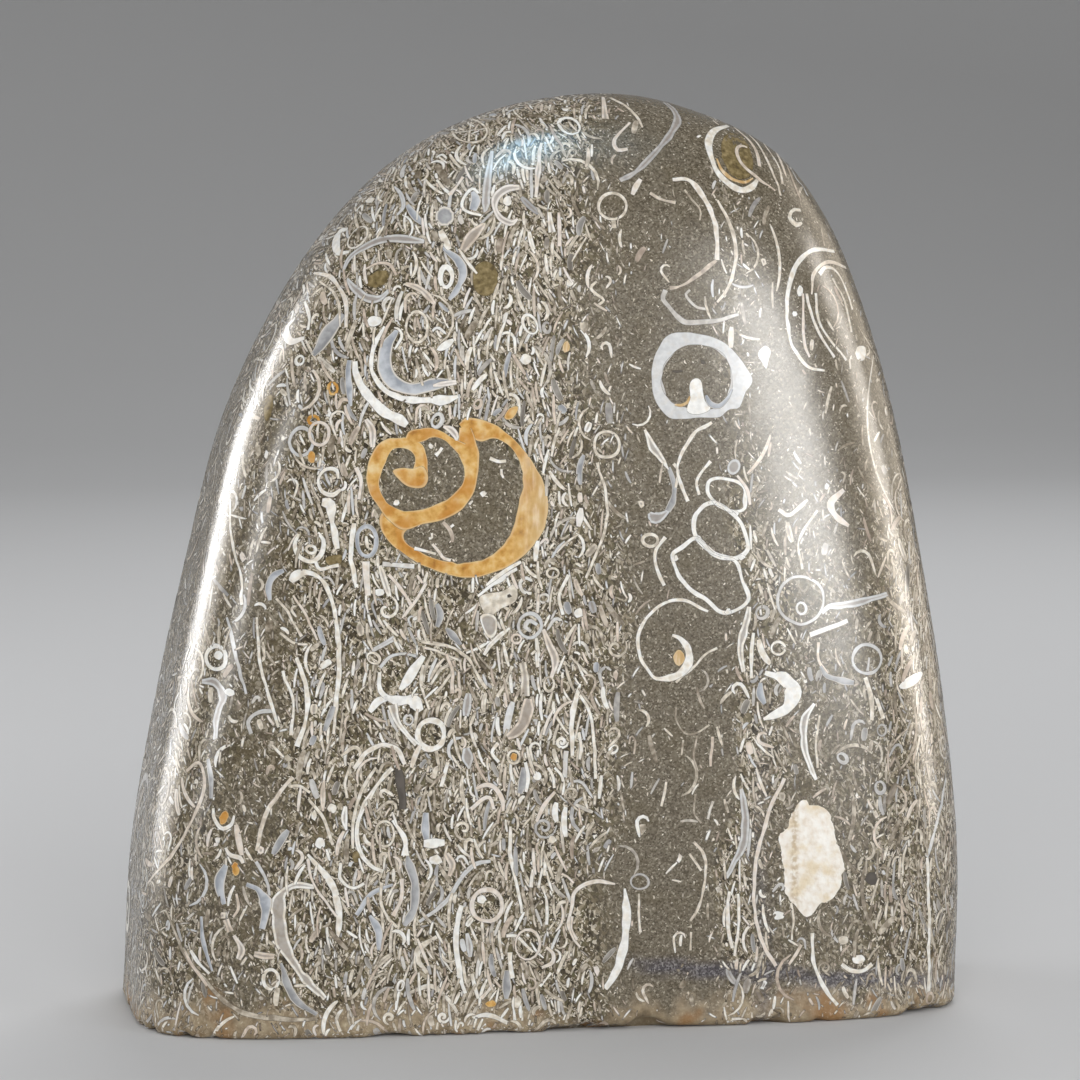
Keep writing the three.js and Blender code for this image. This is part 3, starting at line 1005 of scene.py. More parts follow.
def draw_right():
    """Large thin ovals, bars and rings in the shelly bed down the right side."""
    fill(shell, [(28.3, 24.2), (29.2, 25.3), (30, 24.6), (29.7, 23.4), (29.4, 22.2), (28.9, 23)], WHITE,
         shares=DOT)
    crescent = [
        (29.2, -17.3, 0.5), (31.2, -17.8, 1.2), (32.6, -18.9, 1.9), (32.8, -20.5, 1.8), (31.6, -22.2, 1.3),
        (29, -23.3, 0.4),
    ]
    draw(shell, crescent, WHITE, tint=SOLID)
    fill(shell, [(46.6, -19), (48, -17.7), (49.8, -17.1), (49, -18.6), (47.4, -19.4)], WHITE,
         shares=DOT)
    oyster = [
        (33.9, -33.9), (34.8, -33.9), (34.9, -34.4), (36.1, -34.5), (37.4, -35.2), (38.1, -37), (38.4, -39),
        (39.1, -40.6), (39.6, -42.4), (39.2, -43.8), (38.9, -45.4), (37.9, -46.6), (36.2, -47.5),
        (35.5, -48.6), (34.4, -48.9), (33.4, -47.8), (32, -46), (31.8, -43.4), (31.3, -40.4), (31.1, -38.5),
        (32.2, -37.3), (32.6, -35.9),
    ]
    fill(chalk, oyster, CREAM, SOLID, 0.06, (1, 0.9, 0.75, 0.6, 0.45, 0.3, 0.15))
    bands(shell, PALE, ANY,
          [(38.2, 37.6, 0.35), (35.2, 37.6, 0.6), (32.9, 35, 0.6), (32.1, 30.8, 0.55), (32.5, 26.1, 0.5),
           (34.5, 22.8, 0.4), (37, 22, 0.25)],
          [(39.4, 6.5, 0.7), (37.8, 4.9, 1), (38.5, 3.1, 1), (40.2, 1.8, 0.5)])
    bands(grey, BLUE, ANY, [(28.6, -18.6, 0.5), (28.6, -20, 1.1), (29.2, -21.3, 0.5)])
    bands(shell, WHITE, HOLLOW,
          [(35.7, -21.1, 0.4), (34.4, -23.4, 0.9), (34.4, -27, 1), (35.9, -31.2, 0.4)])
    bands(shell, WHITE, COOL,
          [(36.6, -9.4, 0.4), (37.8, -8.6, 0.7), (39.8, -8.4, 1.2), (42.5, -7.8, 0.9), (45.2, -7, 0.5)])
    bands(shell, WHITE, ANY, [(35, -12.3, 0.6), (37.3, -11.5, 0.8), (40, -10.5, 0.4)])
    bands(shell, CREAM, ANY,
          [(42.8, -15.2, 0.3), (42.6, -17, 0.4)],
          [(42.3, -17.8, 0.6), (43, -20.5, 0.7), (43.2, -23.4, 0.5)])
    bands(grey, GREY, ANY, [(36.4, -16.4, 0.4), (37.6, -17.8, 0.8), (40.8, -18.6, 0.6)])
    bands(shell, PALE, COOL,
          [(26.2, -32.4, 0.4), (26.7, -36, 0.95), (26.4, -39.6, 0.95), (24.2, -43.9, 0.4)])
    bands(shell, PALE, HOLLOW,
          [(27.2, -8.8, 0.4), (26.7, -11.2, 0.85), (26.1, -14.2, 0.9), (26.5, -17.2, 0.5)])
    loops(shell, PALE, COOL, (42.5, -15.5, 1.85, 1.9, 0.34))
    loops(shell, CREAM, COOL, (33.9, -7.8, 3, 3.1, 0.3))
    loops(shell, PALE, ANY, (34, -8.9, 0.6, 0.8, 0.24), (31, -14.1, 0.9, 0.85, 0.28))
    dots(shell, WHITE, (33.8, 32.4, 0.4, 0.8), (33.1, 29.4, 0.4, 0.35), (31, -48.8, 0.75, 0.6))
    dots(shell, PALE, (41.7, 24.3, 0.7, 1.1), (41.4, -54.5, 0.9, 0.6))
    dots(shell, CREAM, (39.4, -52, 0.7, 0.6))
    dots(grey, DARK, (43.1, -44, 0.85, 0.85))
    thin(PALE,
         (0.45, (31.8, -31), (30.4, -33.6), (29.2, -37), (28.2, -41), (27.8, -45), (28, -49), (29.2, -53),
          (30.8, -55.4)),
         (0.5, (50.3, -41.3), (50.6, -50), (50.5, -58.9)),
         (0.5, (52.7, -30.9), (51.8, -36), (50.3, -41.3)),
         (0.45, (35.4, -51), (35.6, -55), (37, -58.4), (38.6, -60.4)),
         (0.5, (39.2, -55.2), (40.4, -56), (42, -56), (43.2, -55.1)),
         (0.4, (34.6, 32), (35.4, 29), (36.4, 26.6), (38.3, 23.8)),
         (0.36, (34.2, 32), (34.2, 28.8), (34.4, 25.6), (35, 23.8)),
         (0.36, (35.9, 32), (36.1, 29.4), (36.9, 27.2), (39.8, 23.4)),
         (0.4, (36.2, 34.6), (37.2, 35.5), (38.6, 34.8), (39.8, 32.6), (40.6, 30)),
         (0.4, (27.7, -12), (27.4, -18)),
         (0.4, (24.6, -45.6), (24.4, -49.4), (24.9, -53)),
         (0.36, (25.7, -46), (25.8, -50), (25.3, -54)))
    thin(CREAM,
         (0.4, (39.8, 35.4), (37.4, 36.1), (35.6, 34.6), (35.3, 31.9)),
         (0.34, (38, 34), (39.6, 31), (40.4, 27)),
         (0.45, (31.1, 3.9), (32.5, 3.3), (34.8, 5.3)),
         (0.3, (36, 3.9), (33.7, 0), (34.1, -3.8)),
         (0.28, (36.4, -22.8), (35.9, -26), (36.1, -29.6)),
         (0.32, (36.2, -13.2), (36.3, -15.6), (37.4, -17.4)),
         (0.5, (43.8, -20.6), (44.6, -23.2)),
         (0.28, (32.6, -47.2), (33, -49.8), (32.7, -52)),
         (0.34, (32.4, -55.2), (34, -52.6)))
    clear(oval(42.5, -15.3, 1.5, 1.4))
    clear(oval(33.9, -7.6, 2.6, 2.7))


def draw_bare():
    """The sparse thin pieces on the bare rock right of the middle."""
    loops(shell, TAN, ANY, (13, -44.4, 1.2, 1, 0.24))
    thin(CREAM,
         (0.32, (19.9, -39.2), (21.3, -40.8), (21.5, -43.6), (20.9, -47), (19.6, -49.5)),
         (0.27, (19.4, -40.8), (21, -43)),
         (0.29, (17.7, -18.5), (19.6, -16.8), (21.4, -15), (23, -14)),
         (0.27, (22.4, -25.6), (22.2, -29.4)),
         (0.29, (22.4, -34), (21.8, -36.3)),
         (0.29, (16.4, -31.4), (15.8, -34.7)),
         (0.27, (12.8, -46), (12.9, -51)),
         (0.3, (19.6, -51), (19.6, -53.4)))
    thin(TAN,
         (0.23, (17.6, -21.8), (17.8, -23.8), (19, -25.2), (20.6, -25), (22, -24)),
         (0.23, (18.6, -26), (18.4, -28)),
         (0.21, (20.4, -25.6), (20, -28), (20.6, -30)),
         (0.23, (20.2, -33), (20, -35.4), (21, -36.8)),
         (0.21, (12.2, -27.8), (12.4, -26.2), (11.8, -25.6), (11.6, -26.6)))


def draw_upper_left():
    """The grey-blue crescent with its white rims, and the arch, drop and nodule above it."""
    core_inner = [
        (-18.3, 27.2), (-19.1, 25.2), (-19.3, 23.2), (-18.6, 21.5), (-17.2, 20.5), (-15.4, 20.6),
        (-13.4, 21.1), (-11, 20.9),
    ]
    core_outer = [
        (-18.9, 27.3), (-20.6, 25.6), (-21.2, 23.2), (-20.7, 21), (-19, 19.4), (-16.6, 18.9), (-14, 19.3),
        (-10.9, 20.4),
    ]
    wall(grey, core_inner[::-1], core_outer[::-1], BLUE, 0.1)
    fill(grey, oval(-12.4, 42.1, 1.2, 1.3), GREY, 0.3, 0.06, PATCH)
    fill(amber, oval(-7.1, 34, 1.7, 2.3), OLIVE, 0.2, 0.06, BLOB)
    fill(shell, [(-22.6, 28.2), (-22, 29.1), (-20.6, 28.9), (-20.7, 28.1), (-21.8, 27.7)], WHITE,
         shares=DOT)
    fill(shell, [(-13.5, 24.7), (-12.5, 25.8), (-11.1, 26.2), (-11.6, 25.2), (-12.6, 24.6)], WHITE,
         shares=DOT)
    fill(amber, [(-4.7, 15.9), (-4, 17.1), (-2.8, 17.4), (-3.2, 16.2), (-4, 15.6)], GOLD,
         shares=DOT)
    bands(shell, WHITE, SOLID,
          [(-20.2, 27.7, 0.4), (-21.6, 25.2, 0.5), (-21.9, 22.4, 0.55), (-20.9, 20.2, 0.55),
           (-19, 18.8, 0.6), (-16.6, 18.2, 0.8), (-13, 18.2, 0.95), (-10.7, 18.6, 0.5)],
          [(-24.1, 23.2, 0.5), (-23.7, 21, 0.8), (-22.4, 18.9, 0.95), (-20.6, 17, 1.2), (-18.6, 15.7, 1.5),
           (-17.3, 14.9, 0.8)],
          [(-25, 40.5, 0.5), (-26.2, 40, 1.2), (-26.5, 38.6, 1.3), (-26.2, 37.4, 0.7), (-24.8, 37.5, 0.3)])
    bands(shell, WHITE, PINKISH,
          [(-13.9, 20, 0.3), (-12.6, 20.3, 0.8), (-10.9, 20.5, 0.5)],
          [(-2.7, 45.9, 0.5), (-4.3, 45.6, 1), (-5.7, 44.5, 0.9), (-5.9, 43, 0.7), (-5, 41.8, 0.75),
           (-3.7, 41.2, 0.7), (-2.9, 41.8, 0.3)])
    bands(grey, BLUE, ANY,
          [(-24.8, 23.4, 0.5), (-24.9, 20.6, 0.9), (-24.6, 17.4, 0.5)],
          [(-17.2, 43.6, 0.6), (-16.4, 42.2, 1.3), (-15.2, 41.2, 0.6)],
          [(-8.8, 45.2, 0.7), (-8.4, 44.2, 1.6), (-8.7, 43, 0.9)],
          [(-12.6, 38, 0.5), (-10.8, 36.4, 1), (-10, 34.6, 0.9), (-10.8, 32.6, 0.9), (-11.8, 31.3, 0.4)])
    bands(shell, PALE, COOL,
          [(-25.7, 34.8, 0.4), (-24.6, 36.8, 0.7), (-22.6, 38.3, 0.9), (-20, 39.1, 0.95), (-17, 39.1, 0.9),
           (-15, 38.8, 0.5)],
          [(-25.2, 33.9, 0.4), (-24, 32.6, 0.95), (-22.6, 31.5, 0.95), (-21, 31.3, 0.7),
           (-19.6, 32.4, 0.4)],
          [(-6.2, 50.6, 0.4), (-6.7, 47.4, 0.9), (-7, 44.4, 0.8), (-7.1, 42.6, 0.3)])
    bands(shell, CREAM, ANY,
          [(-22.6, 35.3, 0.3), (-21, 36, 0.45), (-19.4, 35.7, 0.45), (-18.6, 34.4, 0.3)],
          [(-1.2, 48.2, 0.3), (-1, 44.4, 0.4)],
          [(-28.6, 33.6, 0.25), (-26.9, 32.3, 0.35), (-26.1, 30.4, 0.35), (-26, 27.8, 0.25)],
          [(-8.9, 54.6, 0.25), (-9.3, 51.8, 0.25)],
          [(-11.2, 53, 0.25), (-7.2, 53.4, 0.25)],
          [(7.4, 33.6, 0.3), (6.6, 32.8, 0.35), (7.4, 31.9, 0.35), (8.3, 31.2, 0.35), (7.4, 30.4, 0.3)])
    bands(shell, WHITE, ANY,
          [(-18.9, 46, 0.25), (-17.9, 44.8, 0.4), (-17.8, 43.2, 0.45), (-18.5, 42.2, 0.3)],
          [(-7.6, 42.2, 0.25), (-9.9, 42.9, 0.35), (-9.9, 44.4, 0.35), (-8.9, 45.7, 0.45), (-8, 45, 0.3)],
          [(-31.8, 28.8, 0.3), (-32.9, 27.4, 0.9), (-32.3, 25.8, 0.9), (-30.7, 26.3, 0.4)],
          [(-30.6, 31, 0.3), (-30, 29, 0.6), (-30.2, 27.4, 0.4)],
          [(5.3, 4.1, 0.4), (5.2, 3, 1), (5, 1.8, 0.5)])
    bands(shell, CREAM, PINKISH,
          [(-7.3, 41, 0.7), (-8.8, 39.5, 1.4), (-10, 37.6, 0.7)],
          [(-17.5, 33.3, 0.4), (-15.6, 32.6, 1), (-13.7, 30.7, 0.5)])
    bands(shell, PALE, ANY,
          [(0.2, 51.6, 0.35), (-0.3, 48, 0.6), (-0.5, 44.5, 0.4)],
          [(1.2, 42.6, 0.4), (1.5, 40, 0.75)],
          [(2.5, 42.6, 0.3), (2.6, 38.2, 0.45)],
          [(8.2, 57.7, 0.4), (8.5, 54.8, 0.7)],
          [(-20.1, 29.6, 0.25), (-20.4, 30.6, 0.4), (-19.8, 31.4, 0.4), (-18.9, 31.2, 0.25)],
          [(-29.4, 34.7, 0.3), (-27.4, 34.2, 0.5), (-26, 32.6, 0.5), (-25.2, 30.4, 0.45),
           (-25.2, 27.6, 0.3)],
          [(-26.1, 8, 0.35), (-26.6, 9.2, 0.45), (-27.9, 9.2, 0.45), (-28.8, 8, 0.45), (-28.4, 6.4, 0.5),
           (-27, 5.9, 0.5), (-25.9, 6.6, 0.4)])
    bands(grey, GREY, ANY, [(-29.4, 24, 0.8), (-27.4, 27, 2), (-25.7, 29.4, 0.9)])
    loops(shell, WHITE, SOLID, (-12.2, 34.2, 0.8, 1.35, 0.55))
    loops(shell, CREAM, ANY, (-16, 27.7, 1.4, 2, 0.3), (-9.2, 53.2, 2.3, 1.5, 0.3, -0.1),
          (8.7, 12.4, 1.6, 1.7, 0.3))
    loops(shell, PALE, COOL, (-31, 12.8, 1.5, 1.8, 0.36))
    loops(shell, PALE, ANY, (-28.7, 13.8, 1.3, 1.5, 0.36))
    loops(amber, GOLD, ANY, (-29.4, 15.6, 0.65, 0.6, 0.35), (-26.9, 19.7, 0.6, 0.7, 0.35))
    dots(amber, OLIVE, (-21.1, 33.9, 1.6, 1, 0.5))
    dots(shell, PALE, (-4.2, 44.1, 0.6, 0.7), (-1.9, 23.5, 0.75, 0.75))
    dots(amber, GOLD, (-29.7, 10.8, 0.5, 0.9), (3.4, 25.1, 0.5, 0.8))
    for tip in ((-10.0, 47.2), (-13.4, 46.8), (-12.0, 42.3)):
        draw(shell, [(-11.6, 44.9, 0.5), (*tip, 0.3)], PALE)


def draw_left():
    """Arches, rings and hooks in the hash left of the middle."""
    fill(amber, [(-27.9, -2.3), (-25.8, -1.9), (-26, -3.2), (-27.4, -3.3)], OLIVE, shares=DOT)
    bands(grey, BLUE, ANY, [(-33.4, -4, 0.5), (-34.6, -4.5, 0.8), (-35.3, -5.9, 0.8), (-35.2, -7.8, 0.5)])
    bands(shell, PALE, SOLID,
          [(-32.4, -5.4, 0.5), (-31.6, -4.6, 1.2), (-30.2, -4.2, 0.6), (-28.5, -5, 0.5), (-27.3, -7.2, 0.5),
           (-26.5, -10.5, 0.5), (-26.1, -16, 0.5), (-26.5, -21.3, 0.5), (-26.8, -25.2, 0.3)],
          [(-28.4, 5, 0.9), (-27.3, 4.6, 2), (-27, 2.6, 0.9), (-26.4, -1.2, 0.6)],
          [(-31.4, 0.9, 0.3), (-31.9, -0.8, 0.5), (-31.2, -2.2, 0.55), (-29.7, -2.8, 0.55),
           (-28.4, -1.8, 0.55), (-28.1, -0.2, 0.45), (-28.8, 1, 0.3)])
    bands(grey, GREY, ANY, [(-26.9, -21.6, 0.5), (-27.4, -23.2, 0.9), (-28, -24.8, 0.4)])
    bands(shell, WHITE, SOLID,
          [(-20.9, -17.2, 0.3), (-20.9, -19, 0.45), (-20, -20.3, 0.7), (-18.4, -20.9, 1.2),
           (-16.6, -20.9, 1.6), (-15.6, -22.2, 0.9)],
          [(-15.1, -15.1, 0.6), (-16.3, -16.6, 1.5), (-17.3, -18.3, 1.1), (-18.2, -19.5, 0.4)],
          [(-22.2, -22.3, 0.5), (-21, -21, 1.1), (-19.8, -20.6, 0.8)])
    bands(shell, PALE, ANY,
          [(-19.2, -21.4, 0.9), (-18.3, -24, 0.6), (-16, -26.6, 0.5)],
          [(-0.4, -11, 0.4), (-1.3, -10.5, 0.45), (-1.9, -11.3, 0.5), (-1.2, -11.8, 0.3)],
          [(5.2, -18.6, 0.3), (4.2, -22.8, 0.65), (4.2, -28, 0.4)])
    bands(shell, CREAM, PINKISH,
          [(-1.5, -20.6, 0.9), (-1.9, -23.2, 1.45), (-2.9, -24.8, 1.3), (-4.3, -25.6, 0.7)])
    bands(shell, PALE, PINKISH,
          [(0.4, -11.6, 0.4), (1.2, -13.6, 0.8), (1.9, -15.6, 0.8), (1.5, -17.9, 0.4)],
          [(-22.7, 15.7, 0.4), (-21.7, 14.1, 0.85), (-21.8, 12, 0.5)])
    bands(shell, PALE, COOL,
          [(-42.2, -26, 0.5), (-42, -22.6, 0.9), (-41.2, -20.6, 1.1), (-42.2, -18.6, 1),
           (-43.9, -18.4, 0.5)])
    loops(shell, WHITE, SOLID, (-42.1, -15.3, 1.3, 1.5, 0.5))
    loops(shell, PALE, ANY, (-29.8, -1.2, 0.65, 0.5, 0.3), (-1.3, -11.1, 1.45, 1.55, 0.36))
    loops(grey, BLUE, ANY, (-22.5, -0.2, 1.3, 2, 0.5))
    loops(shell, PALE, SOLID, (-14.2, -25.3, 1.75, 1.9, 0.65))
    dots(shell, WHITE, (-41.8, -15, 0.6, 0.6), (5, -9.5, 0.62, 0.7), (-40.4, -19.8, 0.75, 0.5, -0.3),
         (-20.9, -6.8, 0.75, 0.5))
    dots(amber, OLIVE, (-35.3, 17.2, 0.6, 1.8, -0.15))
    thin(PALE,
         (0.34, (-20.8, -16.6), (-19.6, -15.2), (-17.8, -14.8), (-16, -15.2)),
         (0.6, (-21.8, -14.4), (-18.8, -12.7)),
         (0.6, (-20.4, -3.2), (-16.4, -3.4)),
         (0.42, (-19.7, -4.4), (-18.4, -6), (-16.8, -8.4)),
         (0.36, (-14.9, -5.6), (-16.2, -8), (-17.9, -10.2)),
         (0.5, (-24.2, 2.2), (-24.6, -2), (-23.8, -6.2)),
         (0.65, (-22.7, -2.8), (-22.4, -7.2)),
         (0.45, (-29.1, -2.9), (-28.5, -3.8), (-26.3, -3.3)),
         (0.5, (-31.6, -15.4), (-30.4, -19), (-30.4, -23), (-31.5, -26.8)),
         (0.36, (-33.5, -17), (-32.1, -21), (-32.4, -25.4)),
         (0.36, (-36.8, -10), (-36.4, -16), (-35, -21), (-34, -24.4)),
         (0.34, (-40.4, 5.2), (-40.1, 0), (-39, -4), (-38.7, -8.4)),
         (0.4, (-40.7, -10), (-39.8, -14), (-38.2, -20)),
         (0.4, (-34.5, -22.2), (-36.4, -22.3), (-37.9, -23.6), (-37.6, -25.2)),
         (0.5, (-24.1, -29.6), (-22.6, -27.6), (-20.4, -26.6), (-18.6, -27.2), (-17.6, -29.2)),
         (0.45, (-23.9, 9.4), (-23.2, 7.6), (-23.6, 5.4)),
         (0.4, (3.8, -4.6), (2.5, -7.2), (3, -9.6)))
    thin(CREAM,
         (0.4, (-46, -30), (-44.2, -29), (-43.8, -32.8), (-46.6, -39), (-51, -44.6)),
         (0.26, (-34.3, -7.6), (-32.6, -9.6), (-31, -12.6)),
         (0.26, (-32.2, -7.2), (-30.6, -9.4), (-29, -13)),
         (0.26, (-33.8, -12), (-32, -13.4), (-30.2, -13.6)),
         (0.36, (7.4, 10), (8.7, 5.3), (8.3, 0.8), (5.9, -4.9)))
    clear(oval(-18.8, -17.4, 1.8, 2.2))
    clear(oval(-14.2, -25.3, 1.3, 1.5))
    clear(oval(-1.3, -11.1, 1.2, 1.3))


def draw_under_snail():
    """The broken pieces between the honey-coloured snail and the small coiled one."""
    fill(shell, [(-7.9, -7.4), (-4.8, -6.6), (-3.4, -5.7), (-2.9, -6.6), (-3.2, -8), (-5.2, -9),
         (-6.8, -10)], CREAM, 0.4, shares=PATCH)
    fill(shell, [(-7.8, -9.9), (-6.6, -9.5), (-5.6, -10.3), (-5.7, -12.2), (-6.6, -12.8), (-7.4, -11.6)],
         PALE, 0.45, shares=PATCH)
    bands(shell, WHITE, ANY,
          [(-8.1, -7.3, 0.3), (-5.4, -5.2, 0.5), (-3, -3.7, 0.35)],
          [(-9.7, -9.6, 0.2), (-8.9, -9, 0.4), (-8.1, -8.2, 0.2)],
          [(-9.6, -14.7, 0.2), (-8, -14, 0.3), (-6.6, -13.1, 0.2)])
    bands(shell, PALE, ANY,
          [(-7, -5.9, 0.25), (-4.8, -4.2, 0.4), (-2.5, -2.8, 0.3)],
          [(-1.2, -7, 0.25), (-2.2, -6.7, 0.38), (-2.6, -5.6, 0.38), (-1.9, -4.9, 0.4), (-1, -5.3, 0.3)])
    bands(grey, GREY, ANY,
          [(-13.4, -8.3, 0.5), (-12.9, -9.8, 0.95), (-13.3, -11.3, 0.5)],
          [(-12.3, -11.4, 0.3), (-11.4, -12.4, 0.8), (-10.4, -13.6, 0.4)])
    bands(shell, PALE, HOLLOW,
          [(-7.3, -14.9, 0.4), (-5.8, -12.9, 0.7), (-4, -11.4, 0.4)],
          [(-0.5, -12.8, 0.35), (-0.3, -14.8, 0.6), (-0.3, -16.6, 0.4)])
    bands(shell, CREAM, HOLLOW, [(-2.2, -15.9, 0.7), (-1.9, -18, 1), (-2, -20.2, 0.9)])
    loops(shell, PALE, ANY, (-3.1, -12.9, 0.6, 0.6, 0.25), (0.5, -7.6, 0.65, 0.6, 0.26))
    loops(shell, CREAM, ANY, (1.6, -4.3, 0.75, 0.65, 0.28))
    dots(grey, DARK, (-4, -7.3, 0.34, 0.24))
    thin(CREAM,
         (0.34, (-15.4, -13.2), (-12.4, -13.6), (-9.6, -15.2), (-7, -19.4)),
         (0.3, (-15.3, -13.9), (-13.4, -14.4), (-10.6, -15.6)),
         (0.38, (-12.2, -14.8), (-11.4, -17), (-11.4, -20)),
         (0.36, (-14.2, -18.8), (-13, -17), (-11.9, -16.2)),
         (0.3, (-13.6, -20), (-12.4, -18.4), (-11.6, -17.4)),
         (0.34, (-3.6, -16.4), (-4.6, -18.6), (-5.6, -20.4)),
         (0.36, (-15.2, -16.2), (-15.4, -18.8), (-14.4, -22)))
    clear(oval(-11.4, -7.4, 2.3, 1.6))
    clear(oval(-9.2, -12, 1.2, 1.2))


def draw_lower_left():
    """The hooks, blue-grey pieces and long thin shells over the lower left corner."""
    bands(shell, PALE, HOLLOW,
          [(-29.3, -45.1, 0.5), (-32, -44.9, 0.9), (-33.8, -46.3, 1.3), (-34, -49, 1.7),
           (-33.6, -51.8, 1.4), (-32.6, -54, 1.1), (-31, -56.4, 1.1), (-29.4, -58.2, 1), (-28, -59.6, 0.5)])
    bands(shell, PALE, SOLID,
          [(-30.2, -40.9, 0.3), (-28.1, -43.3, 0.8), (-26.6, -46, 0.9), (-26.1, -49, 0.8),
           (-26.3, -51.7, 0.3)])
    bands(shell, TAN, ANY,
          [(-48.6, -48.1, 0.3), (-46.2, -53.8, 0.45), (-42.6, -58.4, 0.5), (-38.9, -61.3, 0.55),
           (-33.5, -62.3, 0.6), (-29, -62.2, 0.35)])
    bands(grey, BLUE, SOLID,
          [(-40.8, -42.2, 0.7), (-41.7, -44.6, 1.3), (-41, -47.4, 0.6)],
          [(-38.2, -44.8, 0.5), (-36.5, -45.6, 0.95), (-35.7, -47.6, 1.3), (-36.1, -50.6, 0.7)])
    bands(shell, PALE, ANY,
          [(-42.4, -34.8, 0.25), (-42.3, -36.2, 0.4), (-41.4, -37.5, 0.4), (-40.2, -37, 0.4),
           (-39.8, -35.8, 0.25)],
          [(-40.9, -40, 0.3), (-40.3, -40.9, 0.55), (-39, -41.3, 0.5), (-38.6, -42, 0.3)])
    bands(grey, GREY, ANY,
          [(-33.6, -55, 0.5), (-33, -57.4, 0.9), (-31.4, -60.2, 0.9), (-29, -61.6, 0.4)],
          [(-43.2, -28.4, 0.4), (-42.8, -31, 0.65), (-42.7, -33.6, 0.5)],
          [(-17.3, -41.2, 0.6), (-16.3, -44.4, 1.1), (-16.5, -47.7, 1.1), (-17.6, -50.2, 0.5)])
    bands(shell, CREAM, PINKISH,
          [(-37.2, -53.8, 0.5), (-35.8, -54, 0.85), (-34.5, -54.1, 0.5)],
          [(-40.8, -49.3, 0.6), (-40.2, -50.9, 0.8)],
          [(-28.1, -31.2, 0.4), (-28.2, -33.4, 0.65), (-28.2, -35.3, 0.4)])
    bands(grey, BLUE, ANY,
          [(-44, -49, 0.3), (-43.8, -52, 0.5), (-42.6, -56, 0.35)],
          [(-23.9, -48.7, 0.5), (-22.2, -46.2, 0.6), (-19.2, -44.8, 0.3)],
          [(-22.2, -48.8, 0.4), (-21, -50.8, 1), (-20.9, -53.3, 0.5)])
    bands(shell, PALE, PINKISH, [(-39.8, -51.4, 0.4), (-38.8, -53.3, 0.8), (-39.2, -54.6, 0.5)])
    bands(shell, WHITE, ANY,
          [(-45.4, -53.3, 0.3), (-44.4, -54.9, 0.55), (-43, -56.3, 0.3)],
          [(-25.4, -34.6, 0.4), (-25.5, -36.2, 0.75), (-25.2, -37.8, 0.3)],
          [(-19.2, -36.5, 0.3), (-17.6, -38.8, 0.6), (-17.6, -41, 0.8)])
    bands(grey, DARK, ANY, [(-18.4, -29.6, 0.7), (-18, -32.4, 1.2), (-17.8, -35, 0.7)])
    bands(shell, CREAM, ANY,
          [(-13.4, -51.5, 0.4), (-15.7, -53.2, 0.65), (-15.8, -54.8, 0.65), (-14.6, -56.2, 0.4)],
          [(-16.8, -58.8, 0.4), (-14.2, -58, 0.5), (-12.2, -59.4, 0.5), (-10.7, -61.4, 0.4)])
    loops(shell, PALE, ANY, (-35, -57.1, 1, 1.3, 0.4))
    loops(shell, CREAM, ANY, (-20.2, -38.2, 1.2, 1.7, 0.26))
    dots(amber, HONEY, (-39.6, -42.8, 0.55, 1), (-41.1, -36.1, 0.6, 1, -0.3))
    dots(amber, OLIVE, (-23.9, -41.2, 0.5, 0.8))
    dots(shell, PALE, (-27, -34.9, 0.6, 0.7))
    dots(shell, WHITE, (-28.6, -39.4, 0.7, 0.75))
    thin(PALE,
         (0.52, (-19.3, -29.6), (-22.1, -33.1), (-23.6, -36.4), (-23.7, -39.4), (-22.4, -42.1),
          (-20.4, -43.1)),
         (0.28, (-30.2, -41.5), (-29.4, -44.8), (-26.5, -48.9)),
         (0.45, (-18, -44), (-18, -46.6), (-19, -48.8)),
         (0.34, (-36.9, -41.8), (-35.8, -43.8), (-35.1, -46.2)),
         (0.32, (-25.8, -42), (-26, -44), (-24.4, -45.2), (-22.8, -44.6)))
    thin(CREAM,
         (0.38, (-21.4, -29.6), (-23.2, -32.5), (-24.2, -36.4), (-24.4, -40.2)),
         (0.46, (-32.2, -30.8), (-34.7, -34), (-36.1, -37), (-36.8, -40.4)),
         (0.34, (-32.4, -32), (-31.2, -32), (-29.8, -32.9)),
         (0.36, (-29.9, -34), (-28.2, -36.2), (-26.9, -39.6)),
         (0.38, (-20.6, -44.6), (-20.7, -47.2), (-19.8, -49), (-18.6, -50.3)),
         (0.36, (-24.6, -29), (-25.4, -31.6), (-25, -33.6)),
         (0.4, (-46.2, -53.5), (-45, -55.6), (-43.2, -58)),
         (0.3, (-39.6, -46), (-39.2, -47.8), (-39.9, -49)))


